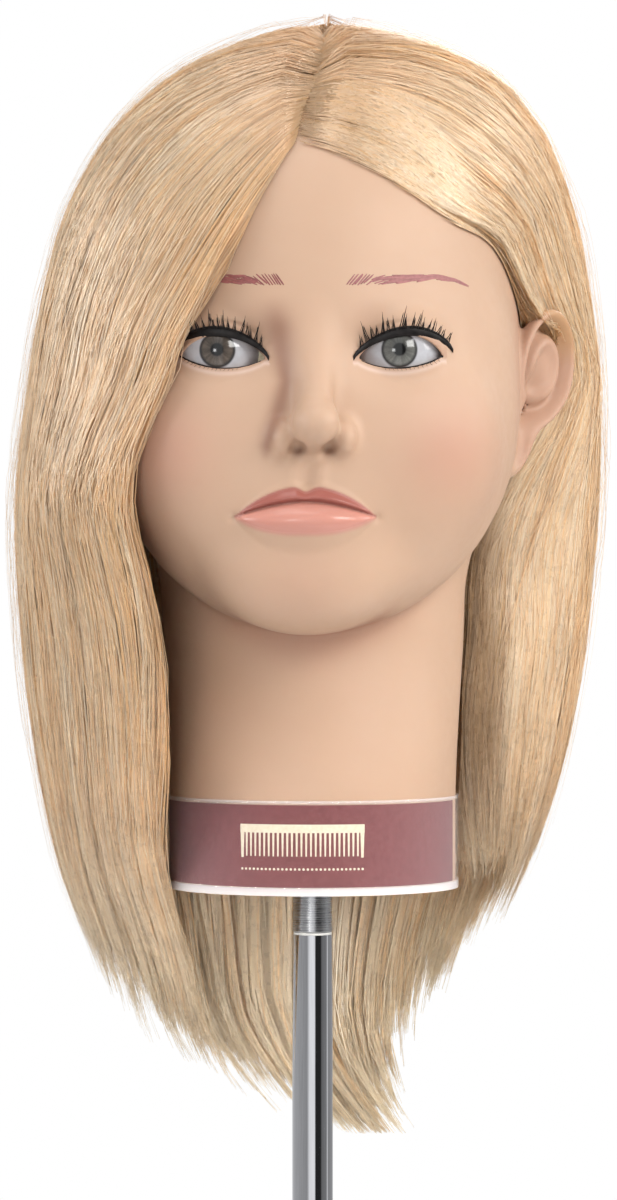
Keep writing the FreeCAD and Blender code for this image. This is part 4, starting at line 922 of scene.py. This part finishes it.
def strand_mesh(name, lines, radius, colours, flat=1.7, across=None):
    """Closed three-sided tubes along the lines. Their width lies along the hair's surface."""
    count, points = lines.shape[:2]
    way = unit(np.gradient(lines, axis=1))
    side = unit(np.cross(way, (lines - CENTRE) * (1, 1, 0.4)))
    if across is not None:
        # across the hair's own surface, where it has a direction, and the same way up along the whole strand
        plain = without(across, way)
        size = np.linalg.norm(plain, axis=2, keepdims=True)
        plain = unit(plain)
        plain *= np.where((plain * side).sum(axis=(1, 2)) < 0, -1, 1)[:, None, None]
        side = unit(without(side + (plain - side) * smoothstep(0.05, 0.3, size), way))
    up = np.cross(side, way)
    t = np.linspace(0, 1, points)
    width = (radius[:, None] * np.clip(t / 0.03, 0.5, 1) * np.clip((1 - t) / 0.22, 0.22, 1) ** 0.7)[..., None]
    sides = 3
    corners = math.pi / 2 + 2 * math.pi * np.arange(sides) / sides
    rings = [lines + (side * (math.cos(a) * flat) + up * (math.sin(a) / flat)) * width for a in corners]
    first = np.arange(count)[:, None] * points * sides
    quads = (tube_faces(points, sides).reshape(1, -1, 4) + first[..., None]).reshape(-1, 4)[:, ::-1]
    caps = np.concatenate([first + (0, 1, 2), first + (points - 1) * sides + (2, 1, 0)])
    tint = np.repeat(colours.reshape(-1, 3), sides, axis=0)
    piece = mesh_object(name, np.stack(rings, 2).reshape(-1, 3), [quads, caps], colours=tint)
    # the two low edges stay sharp, so that a strand's face doesn't darken towards its sides
    edges = np.empty(2 * len(piece.data.edges), np.int32)
    piece.data.edges.foreach_get("vertices", edges)
    edges = np.sort(edges.reshape(-1, 2), axis=1)
    sharp = (edges[:, 1] - edges[:, 0] == sides) & (edges[:, 0] % sides != 0)
    piece.data.attributes.new("sharp_edge", "BOOLEAN", "EDGE").data.foreach_set("value", sharp)
    return piece


GOLD = np.array((0.93, 0.67, 0.36))
PALE = np.array((0.99, 0.88, 0.68))
AMBER = np.array((0.68, 0.39, 0.18))
ASH = np.array((0.80, 0.64, 0.52))


def strand_colours(lines, lock, start):
    """Warm at the roots and in the deep layers, paler towards the ends, no two strands quite the same: the
    deep layers and the hair by the neck darkened as painted shade, the roots partly so, and the low ends
    lightened partly as painted light.
    """
    count, points = lines.shape[:2]
    t = np.linspace(0, 1, points)[None, :, None]
    x, y, z = np.moveaxis(lines, 2, 0)[..., None]

    def vary(total):
        return rng.normal(0, 1, (total, 1, 1))

    def mixed(one, other, share):
        return one * (1 - share) + other * share

    own = vary(count)
    group = vary(lock.max() + 1)[lock]
    wide = vary(lock.max() // LOCKS_PER_CLUMP + 1)[lock // LOCKS_PER_CLUMP]
    # paler low down: partly the ends' own paler colour, partly painted light on the low hair, which gets
    # little light
    pale_ends_and_light = 1 - smoothstep(-45, 40, z)
    colour = mixed(GOLD, PALE, np.clip(0.58 + 0.24 * own + 0.24 * group + 0.26 * wide + 0.6 * pale_ends_and_light, 0, 1))
    colour = mixed(colour, ASH, np.clip(0.10 + 0.14 * vary(count), 0, 0.5) * (1 - 0.8 * pale_ends_and_light))
    deep = start[:, None, None]
    # the roots' own darker colour, with painted shade at the roots as well
    root = 0.52 * (1 - smoothstep(0.02, 0.20, t)) * (1 - 0.7 * smoothstep(0.03, 0.2, deep))
    # the deep layers darker still, as painted shade under the outer ones
    root = root + 0.2 * deep * (1 - pale_ends_and_light) + 0.05 * group
    colour = mixed(colour, AMBER, np.clip(root, 0, 0.85))
    # painted shade: the hair darker auburn where it lies along the neck, in its shadow
    neck_shade = 1 - smoothstep(64, 80, np.hypot(x, y - 5))
    neck_shade = neck_shade * smoothstep(8, 50, z) * (1 - smoothstep(150, 172, z)) * (1 - smoothstep(25, 50, y))
    return np.clip(mixed(colour, AMBER * 0.6, 0.8 * neck_shade), 0, 1)


def hair_material():
    material, shader = new_material("hair_fibre")
    tone = painted(material, shader, 60, 3, (0.90, 0.88, 0.86))
    rough_noise(material, shader, 300, 2, 0.24, 0.36)
    shader.inputs["Specular IOR Level"].default_value = 1.0
    shader.inputs["Metallic"].default_value = 0.12
    through = add(material, "BsdfTranslucent", None, Color=tone).outputs[0]
    both = add(material, "MixShader", None, i1=shader.outputs[0], i2=through)
    both.inputs[0].default_value = 0.42
    surface(material, both.outputs[0])
    return material


PIECE_STRANDS = 1250
# Each family of strands: side, how many, their radius, and what differs from the usual
PARTING = {"clumps": 40, "start_range": (0.0, 0.05), "layer_top": 1.004, "stagger": 35, "loose": 0.6,
           "rise": 9}
UNDER = {"clumps": 40, "start_range": (0.5, 0.98), "points": 16, "stagger": 45}
WISPS = {"clumps": 60, "start_range": (0.0, 0.9), "points": 24, "layer_top": 1.035, "layer_drop": 0.0,
         "stagger": 60, "loose": 2.6, "pull": 0.0}
FAMILIES = {
    "hair_curtain": (SIDE_L, 9500, 0.125, {"clumps": 70, "stagger": 27}),
    "hair_sweep": (SIDE_R, 8000, 0.125, {"clumps": 60}),
    "hair_hairline": (SIDE_R, 1500, 0.11, {"clumps": 12, "u_range": (0.0, 0.16), "start_range": (0.0, 0.5),
                                           "layer_top": 0.995, "loose": 0.6}),
    "hair_parting": (SIDE_R, 4200, 0.11, PARTING),
    "hair_parting_curtain": (SIDE_L, 4200, 0.11, PARTING),
    "hair_under_curtain": (SIDE_L, 2400, 0.22, {**UNDER, "u_range": (0.03, 1.0), "layer_drop": 0.16}),
    "hair_under_sweep": (SIDE_R, 2200, 0.22, {**UNDER, "u_range": (0.02, 1.0), "layer_drop": 0.18}),
    "hair_wisps_curtain": (SIDE_L, 260, 0.07, WISPS),
    "hair_wisps_sweep": (SIDE_R, 260, 0.07, WISPS),
}
# The solids that the first piece of a family stands in for
HAIR_SOLIDS = {"hair_curtain_1": ("hair_right_side", "hair_back_right"),
               "hair_sweep_1": ("hair_left_side", "hair_crown", "hair_back_left")}


def make_hair():
    """Families of strands in pieces that ride on the head."""
    material = hair_material()
    wide = 1.0
    for family, (side, count, radius, settings) in FAMILIES.items():
        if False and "wisps" not in family:
            count = int(count * 0.5)
        lines, across, lock, u, start = strands(count, side, **settings)
        lines = clear_of_head(lines)
        colours = strand_colours(lines, lock, start)
        width = radius * wide * rng.uniform(0.75, 1.25, count)
        order = np.argsort(u)
        for n, i in enumerate(range(0, count, PIECE_STRANDS)):
            pick = order[i:i + PIECE_STRANDS]
            name = f"{family}_{n + 1}"
            piece = strand_mesh(name, lines[pick], width[pick], colours[pick], across=across[pick])
            on_head(piece, "hair", material, *HAIR_SOLIDS.get(name, ()))


# ---------------------------------------------------------------------------------------------------------
# Foam inside the head
# ---------------------------------------------------------------------------------------------------------
FOAM_GAP = 0.4


def plain_head(x, y, z):
    """The head's large forms, with no features and an open foot."""
    p = (np.abs(x), y, z)
    head = blend(egg(p, SCALP_CENTRE, SCALP_RADII), egg(p, (0, -24, 165), (71.5, 58, 64)), 22)
    return blend(head, neck_field(x, y, z), 6)


def make_foam():
    """The firm filling behind the skin, with room for the neck's socket."""
    tube_radius = 16.5
    tube_top = (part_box("neck_socket")[1].z / MM - FOOT) + 0.6
    flange_top = 3.8
    step = 4.0
    x, y = np.arange(-80, 81, step), np.arange(-92, 101, step)
    z = np.concatenate([[2.6, 3.6, 5.2], np.arange(8, 312, step)])
    grid = np.meshgrid(x, y, z, indexing="ij")
    field = plain_head(*grid) + skin_thickness(grid[2]) + FOAM_GAP
    tube = np.maximum(np.hypot(grid[0], grid[1]) - tube_radius, grid[2] - tube_top)
    field = np.maximum(np.maximum(field, flange_top - grid[2]), -tube)
    verts, quads = surface_net(x, y, z, field)
    material, shader = new_material("foam_cells", roughness=0.9)
    cells = add(material, "TexVoronoi", {"Scale": 900}, Vector=place(material)).outputs["Distance"]
    join(material, ramp(material, cells, (0.0, (0.62, 0.54, 0.36)), (0.6, (0.86, 0.79, 0.58))),
         shader.inputs["Base Color"])
    bump(material, shader, cells, 0.6, 0.0004)
    on_head(mesh_object("foam_filling", verts, [quads]), "foam", material, "foam_core")


# ---------------------------------------------------------------------------------------------------------
# Eyes, lashes and brows
# ---------------------------------------------------------------------------------------------------------
IRIS_RADIUS = 6.35
PUPIL_RADIUS = 2.2


def face_depth(x, z, lift=0.0):
    """Where the front of the head is at a place on the face."""
    x, z = np.asarray(x, float), np.asarray(z, float)
    y = np.full(x.shape, -118.0)
    for _ in range(60):
        y = y + np.clip(head_field(x, y, z) - lift, 0, 4) * 0.8
    return y


def eye_colours(r, turns, iris_tone, streak, fine):
    """The paint of an eye at one distance from its middle: pupil, streaked iris with a dark rim, white, with
    painted shade from the lids and painted light on the iris's lower half.
    """
    # painted shade of the lids: the white is painted grey, darker towards its edges and darker again in its
    # upper half
    white = np.array((0.43, 0.43, 0.45)) * (1 - 0.10 * smoothstep(9, 14, r))
    shade = 0.12 * smoothstep(5, 13, r) * (np.sin(turns) > 0)
    tone = 0.8 * iris_tone * (1 + 0.16 * streak + 0.07 * fine)[:, None]
    # the iris is painted lighter in its lower half and darker in its upper half, as painted light and shade
    tone = tone * (0.75 + 0.5 * smoothstep(2.0, 5.0, r)) * (1 + 0.25 * np.sin(turns + math.pi))[:, None]
    rim = smoothstep(4.9, 6.0, r)
    tone = tone * (1 - rim) + np.array((0.030, 0.028, 0.028)) * rim
    tone = tone * smoothstep(PUPIL_RADIUS - 0.3, PUPIL_RADIUS + 0.5, r) + 0.006
    edge = smoothstep(IRIS_RADIUS - 0.35, IRIS_RADIUS + 0.35, r)
    return tone * (1 - edge) + white * (1 - shade)[:, None] * edge


def make_eye(name, side, iris_tone, node):
    """A glass eye: a closed dome with a clear bulge over the iris, painted white, grey and black."""
    centre = np.array((side * EYE[0], EYE[1], EYE[2]))
    forward = np.array((side * (IRIS[0] - EYE[0]), 0, IRIS[1] - EYE[2]))
    forward[1] = -math.sqrt(EYE_RADIUS ** 2 - forward[0] ** 2 - forward[2] ** 2)
    forward = unit(forward)
    right = unit(np.cross(forward, (0, 0, 1.0)))
    up = np.cross(right, forward)
    segments = 120
    bulge_reach, bulge = 7.6, 0.7
    reach = np.concatenate([np.linspace(0.15, bulge_reach, 40), np.linspace(8.0, 16.1, 18)])
    turns = np.linspace(0, 2 * math.pi, segments, endpoint=False)
    round_way = right * np.cos(turns)[:, None] + up * np.sin(turns)[:, None]
    streak = rng.normal(0, 1, segments)
    streak = (streak + np.roll(streak, 1) + np.roll(streak, -1)) / 2
    fine = rng.normal(0, 1, (len(reach), segments))
    rings, colours = [], []
    for r, grain in zip(reach, fine):
        depth = math.sqrt(EYE_RADIUS ** 2 - r ** 2) + bulge * max(0, 1 - (r / bulge_reach) ** 2) ** 1.5
        rings.append(centre + forward * depth + round_way * r)
        colours.append(eye_colours(r, turns, iris_tone, streak, grain))
    back = centre + forward * (math.sqrt(EYE_RADIUS ** 2 - reach[-1] ** 2) - 3.0)
    rings += [back + round_way * (reach[-1] - 1), [centre + forward * (EYE_RADIUS + bulge), back]]
    pale = (0.6, 0.6, 0.62)
    colours += [np.tile(pale, (segments, 1)), [(0.006,) * 3, pale]]
    rows = len(reach) + 1
    i = np.arange(segments)
    n = (i + 1) % segments
    hub, last = rows * segments + 0 * i, (rows - 1) * segments
    caps = np.concatenate([np.stack([hub, n, i], 1), np.stack([hub + 1, last + i, last + n], 1)])
    eye = mesh_object(name, np.concatenate(rings), [tube_faces(rows, segments).reshape(-1, 4), caps],
                      colours=np.concatenate(colours))
    material, shader = new_material(name + "_glass")
    painted(material, shader, 420, 5, (0.93, 0.90, 0.90), span=(0.35, 0.6))
    rough_noise(material, shader, 90, 2, 0.09, 0.13)
    shader.inputs["Specular IOR Level"].default_value = 0.55
    on_head(eye, "eye", material, node)


def dark_fibre(name, low, high, roughness):
    material, shader = new_material(name)
    colour_noise(material, shader, 500, 3, low, high)
    rough_noise(material, shader, 900, 2, roughness - 0.08, roughness + 0.08)
    shader.inputs["Specular IOR Level"].default_value = 0.22
    return material


def strip_mesh(name, path, half_width, height):
    """A closed band that lies along a path on the face, as wide as half_width both up and down."""
    across = np.tile((0, 0, 1.0), (len(path), 1))
    up = np.cross(unit(np.gradient(path, axis=0)), across)
    up *= np.where(up[:, 1] > 0, -1, 1)[:, None]
    half_width = np.broadcast_to(half_width, len(path))[:, None]
    sides = 10
    corners = 2 * math.pi * np.arange(sides) / sides
    rings = [path + across * half_width * math.cos(a) + up * height * math.sin(a) for a in corners]
    ring = np.arange(sides)
    ends = np.array([ring[::-1], (len(path) - 1) * sides + ring])
    quads = tube_faces(len(path), sides).reshape(-1, 4)
    return mesh_object(name, np.stack(rings, 1).reshape(-1, 3), [quads, ends])


def between(path, place):
    """The point of a path at a place between two of its points."""
    i = int(place)
    return path[i] + (path[min(i + 1, len(path) - 1)] - path[i]) * (place % 1)


def make_lashes(side, label, node):
    """A black lash line on the upper lid's edge, its spiky lashes, and a fine lower line with short ones."""
    material = dark_fibre("lash_fibre_" + label, (0.004, 0.003, 0.003), (0.014, 0.011, 0.010), 0.42)
    x = np.linspace(14.8, 49.6, 40)
    share = (x - x[0]) / (x[-1] - x[0])
    z = 190.2 + 3.4 * share + 7.9 * (4 * share * (1 - share)) ** 0.75
    y = face_depth(side * x + middle(z), z)
    y = np.minimum(y, np.convolve(np.pad(y, 3, mode="edge"), np.full(7, 1 / 7), mode="valid")) - 0.25
    path = np.stack([side * x + middle(z), y, z], 1)
    thick = 0.45 + 1.45 * np.sin(math.pi * (0.08 + 0.90 * share)) ** 0.5 * (0.70 + 0.45 * share)
    on_head(strip_mesh("lash_line_" + label, path, thick, 0.45), "lash", material, node)
    # spikes of strands that meet at a tip
    lines, radii = [], []
    t = np.linspace(0, 1, 9)
    bend = np.stack([0 * t, -0.9 * t * (1 - t), -1.3 * t * (1 - t)], 1)
    spikes = 17
    for k in range(spikes):
        base = 0.06 + 0.90 * (k + 0.5 + rng.uniform(-0.25, 0.25)) / spikes
        splay = side * (-0.60 + 1.55 * base) + rng.normal(0, 0.16)
        length = (3.6 + 3.2 * math.sin(math.pi * min(base + 0.08, 1))) * (1.25 if k % 3 == 1 else 0.80)
        length = length * rng.uniform(0.85, 1.15)
        centre = base * (len(x) - 1)
        tip = between(path, centre) + (splay * length * 0.62, -length * 0.62, 0.7 + length * 0.80)
        for m in range(5):
            root = between(path, np.clip(centre + (m - 2) * 0.42 + rng.normal(0, 0.1), 0, len(x) - 1.01))
            way = tip - root + rng.normal(0, 0.28, 3)
            lines.append(root + (0, 0, 0.5) + way * (0.75 + 0.25 * (m == 2)) * t[:, None] + bend)
            radii.append(0.15)
    # short lashes of the lower lid
    for k in range(14):
        u = 0.30 + 0.66 * k / 13
        out = 17.5 + 28.0 * u
        foot_x, foot_z = side * out + middle(190), lid_edges(out)[1] - 0.4
        foot_y = face_depth([foot_x], [foot_z])[0]
        splay = side * (-0.1 + 0.75 * u) + rng.normal(0, 0.08)
        length = rng.uniform(1.8, 2.8)
        lines.append(np.stack([foot_x + splay * length * 0.6 * t, foot_y - length * 0.75 * t,
                               foot_z - length * (0.5 * t - 0.15 * t ** 2)], 1))
        radii.append(0.08)
    lines = np.array(lines)
    colours = np.tile((0.012, 0.010, 0.010), (*lines.shape[:2], 1))
    on_head(strand_mesh("lashes_" + label, lines, np.array(radii), colours, flat=1.0), "lash", material)
    x = np.linspace(17.6, 46.2, 34)
    z = lid_edges(x)[1] - 0.15
    low_x = side * x + middle(190)
    path = np.stack([low_x, face_depth(low_x, z) - 0.02, z], 1)
    thick = 0.16 + 0.20 * (x - x[0]) / (x[-1] - x[0])
    on_head(strip_mesh("lash_line_lower_" + label, path, thick, 0.12), "lash", material)


# A brow's middle and half height over its distance from the face's midline
BROW_X = (9.0, 20.0, 32.0, 43.0, 50.0, 56.0)
BROW_Z = (217.8, 217.9, 218.6, 220.0, 219.2, 216.8)
BROW_HALF = (2.0, 2.0, 1.5, 0.9, 0.6, 0.15)


def make_brow(side, label, inner, outer, tone):
    """A brow of painted hair strokes: slanting ones at its inner end, then a band that thins outwards."""
    lines, colours = [], []
    t = np.linspace(0, 1, 7)
    strokes = int((outer - inner) * 3.2)
    for k in range(strokes):
        x = inner + (outer - inner) * (k + rng.uniform(-0.2, 0.2)) / strokes
        near = smoothstep(3.0, 13.0, x - inner)
        if near < 0.5 and k % 3 > 0:
            continue
        angle = math.radians(54 - 43 * near + rng.normal(0, 2))
        length = (5.0 + 1.8 * near) * rng.uniform(0.9, 1.1) * (1 if x < outer - 6 else 0.6)
        part = rng.uniform(-1, 1)
        xs = x + length * math.cos(angle) * t - (1 - near) * 0.9
        climb = length * math.sin(angle) * (t - 0.5) * (1 - 0.75 * near)
        wander = np.interp(xs, BROW_X, BROW_HALF) * part * near * (1 - 0.3 * t)
        zs = np.interp(xs, BROW_X, BROW_Z) + climb + wander
        lines.append(np.stack([side * xs + middle(zs), zs, zs], 1))
        own = tone * rng.uniform(0.85, 1.2) + np.array((0.05, 0.028, 0.022)) * near
        colours.append(np.tile(own, (len(t), 1)))
    lines = np.array(lines)
    lines[..., 1] = face_depth(lines[..., 0], lines[..., 2]) - 0.02
    width = rng.uniform(0.20, 0.30, len(lines))
    brow = strand_mesh("brow_" + label, lines, width, np.array(colours), flat=1.6)
    material, shader = new_material("brow_paint_" + label, roughness=0.6)
    painted(material, shader, 700, 3, (0.85, 0.85, 0.85), (1.1, 1.1, 1.1))
    on_head(brow, "lash", material)


# ---------------------------------------------------------------------------------------------------------
# Label print and the materials of the CAD pieces
# ---------------------------------------------------------------------------------------------------------
LABEL_RADIUS = 53.4
PRINT_THICKNESS = 0.06
SLEEVE_HEIGHT = 34


def bent_print(name, shapes, material):
    """Flat shapes wrapped round the label: each is an outline of (along, up) points in millimetres."""
    verts, faces = [], []
    for outline in shapes:
        count, start = len(outline), len(verts)
        for radius in (LABEL_RADIUS - 0.02, LABEL_RADIUS + PRINT_THICKNESS):
            for along, up in outline:
                a = along / LABEL_RADIUS
                verts.append(np.array((radius * math.sin(a), -radius * math.cos(a), up + FOOT)) * MM)
        faces.append([start + count + i for i in range(count)])
        faces.append([start + i for i in reversed(range(count))])
        for i in range(count):
            n = (i + 1) % count
            faces.append([start + i, start + n, start + count + n, start + count + i])
    mesh = bpy.data.meshes.new(name)
    mesh.from_pydata([tuple(v) for v in verts], [], faces)
    on_head(in_scene(name, mesh), "label_card", material)


def bar(x0, x1, z0, z1):
    """A rectangle as an outline."""
    return [(x0, z0), (x1, z0), (x1, z1), (x0, z1)]


def make_label_print():
    """A picture of a comb, with a dotted line under it."""
    material, shader = new_material("label_ink", roughness=0.6)
    colour_noise(material, shader, 800, 3, (0.62, 0.54, 0.39), (0.70, 0.63, 0.49))
    teeth, segments, dots = 27, 12, 30
    left, width, spine_low, spine_high = -26.0, 46.0, 22.6, 25.6
    shapes = [bar(left + width * k / segments, left + width * (k + 1) / segments, spine_low, spine_high)
              for k in range(segments)]
    for k in range(teeth):
        x = left + width / teeth * (k + 0.5)
        tall, half = (8.4, 0.42) if 0 < k < teeth - 1 else (8.9, 0.75)
        top, tip = spine_low + 0.1, spine_low - tall
        shapes.append([(x - half, top), (x - half * 0.6, tip), (x + half * 0.6, tip), (x + half, top)])
    bent_print("label_comb", shapes, material)
    radius, level = 0.45, 9.6
    turns = np.linspace(0, 2 * math.pi, 10, endpoint=False)
    shapes = []
    for k in range(dots):
        x = left + width * (k + 0.5) / dots
        shapes.append([(x + radius * math.cos(a), level + radius * math.sin(a)) for a in turns])
    bent_print("label_dots", shapes, material)


def speckled(name, low, high, roughness, scale=400, depth=0.1, specular=0.5):
    """A finish whose colour, roughness and relief all vary a little."""
    material, shader = new_material(name)
    colour_noise(material, shader, scale, 4, low, high)
    rough_noise(material, shader, scale * 1.7, 3, roughness - 0.06, roughness + 0.06)
    bump(material, shader, noise(material, scale * 2.3, 3), depth, 0.0001)
    shader.inputs["Specular IOR Level"].default_value = specular
    return material


def brushed(name, tone, roughness, stretch):
    """Bright metal with fine scratches drawn out along one axis."""
    material, shader = new_material(name, metallic=1.0)
    lines = noise(material, 60, 4, place(material, stretch))
    low, high = [c * 0.93 for c in tone], [min(c * 1.04, 1) for c in tone]
    join(material, ramp(material, lines, (0.3, low), (0.7, high)), shader.inputs["Base Color"])
    join(material, ramp(material, lines, (0.3, (roughness * 0.7,) * 3), (0.7, (roughness * 1.4,) * 3)),
         shader.inputs["Roughness"])
    bump(material, shader, lines, 0.04, 0.00005)
    return material


def dress_cad():
    """A finish for every CAD piece that stays."""
    finishes = [
        (brushed("chrome", (0.78, 0.78, 0.80), 0.05, (30, 30, 1)), "pole_tube"),
        (brushed("satin_steel", (0.55, 0.55, 0.56), 0.26, (1, 1, 60)), "swivel_plug"),
        (brushed("bright_steel", (0.66, 0.66, 0.68), 0.16, (60, 60, 4)),
         "fork_screw", "hinge_bolt", "hinge_washer", "tommy_bar", "clamp_screw", "pressure_plate",
         "swivel_pin", "retaining_clip", "roll_pin", "hinge_knuckle", "lever_insert"),
        (speckled("frame_paint", (0.018, 0.018, 0.019), (0.035, 0.035, 0.037), 0.42, 900, 0.35),
         "clamp_frame", "tilt_fork"),
        (speckled("seat_rubber", (0.02, 0.02, 0.02), (0.045, 0.044, 0.043), 0.78, 700, 0.3),
         "seat_pad", "plate_rubber"),
        (speckled("black_plastic", (0.014, 0.014, 0.015), (0.028, 0.028, 0.03), 0.38, 1200, 0.2),
         "tilt_lever", "bar_knob_left", "bar_knob_right", "plug_cap"),
        (speckled("friction_fibre", (0.16, 0.10, 0.06), (0.30, 0.20, 0.12), 0.85, 1500, 0.5),
         "friction_disc_left", "friction_disc_right"),
        (speckled("nylon", (0.72, 0.71, 0.68), (0.82, 0.81, 0.78), 0.45, 800), "glide_ring"),
        (brushed("bush_brass", (0.72, 0.52, 0.24), 0.22, (60, 60, 4)), "plug_bush"),
        (speckled("socket_plastic", (0.60, 0.58, 0.54), (0.70, 0.68, 0.64), 0.5, 500), "neck_socket"),
        (speckled("label_card", (0.155, 0.043, 0.044), (0.19, 0.055, 0.057), 0.6, 500, 0.15, 0.25),
         "neck_label"),
        (film_material(), "clear_sleeve"),
    ]
    for material, *names in finishes:
        for name in names:
            dress(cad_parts[name], material)


def film_material():
    """Clear film: nearly nothing face on, and milky at its edges and where it turns away."""
    material, shader = new_material("clear_film", (0.93, 0.90, 0.91))
    source = add(material, "TexCoord").outputs["Object"]
    height = add(material, "SeparateXYZ", None, Vector=source).outputs["Z"]
    limits = {"From Min": FOOT * MM, "From Max": (FOOT + SLEEVE_HEIGHT) * MM}
    up = add(material, "MapRange", limits, Value=height)
    edge = ramp(material, up.outputs[0], (0.0, (0.45,) * 3), (0.075, (0.36,) * 3), (0.095, (0.012,) * 3),
                (0.955, (0.008,) * 3), (0.985, (0.2,) * 3))
    turned = add(material, "LayerWeight", {"Blend": 0.25}).outputs["Facing"]
    total = add(material, "Math", {"operation": "MULTIPLY_ADD", "use_clamp": True}, i0=turned, i2=edge)
    total.inputs[1].default_value = 0.12
    join(material, total.outputs[0], shader.inputs["Alpha"])
    rough_noise(material, shader, 120, 3, 0.08, 0.18)
    bump(material, shader, noise(material, 60, 2), 0.05, 0.0002)
    return material


make_camera()
make_world()
make_floor()
make_lamps()
bpy.context.scene.view_settings.view_transform = "Standard"
make_head()
make_foam()
make_eye("eye_glass_left", 1, np.array((0.115, 0.115, 0.105)), "eye_left")
make_eye("eye_glass_right", -1, np.array((0.085, 0.068, 0.055)), "eye_right")
make_lashes(1, "left", "lash_strip_left")
make_lashes(-1, "right", "lash_strip_right")
make_brow(1, "left", 12.4, 51.0, np.array((0.26, 0.095, 0.095)))
make_brow(-1, "right", 11.4, 50.0, np.array((0.22, 0.060, 0.058)))
make_label_print()
dress_cad()
make_hair()
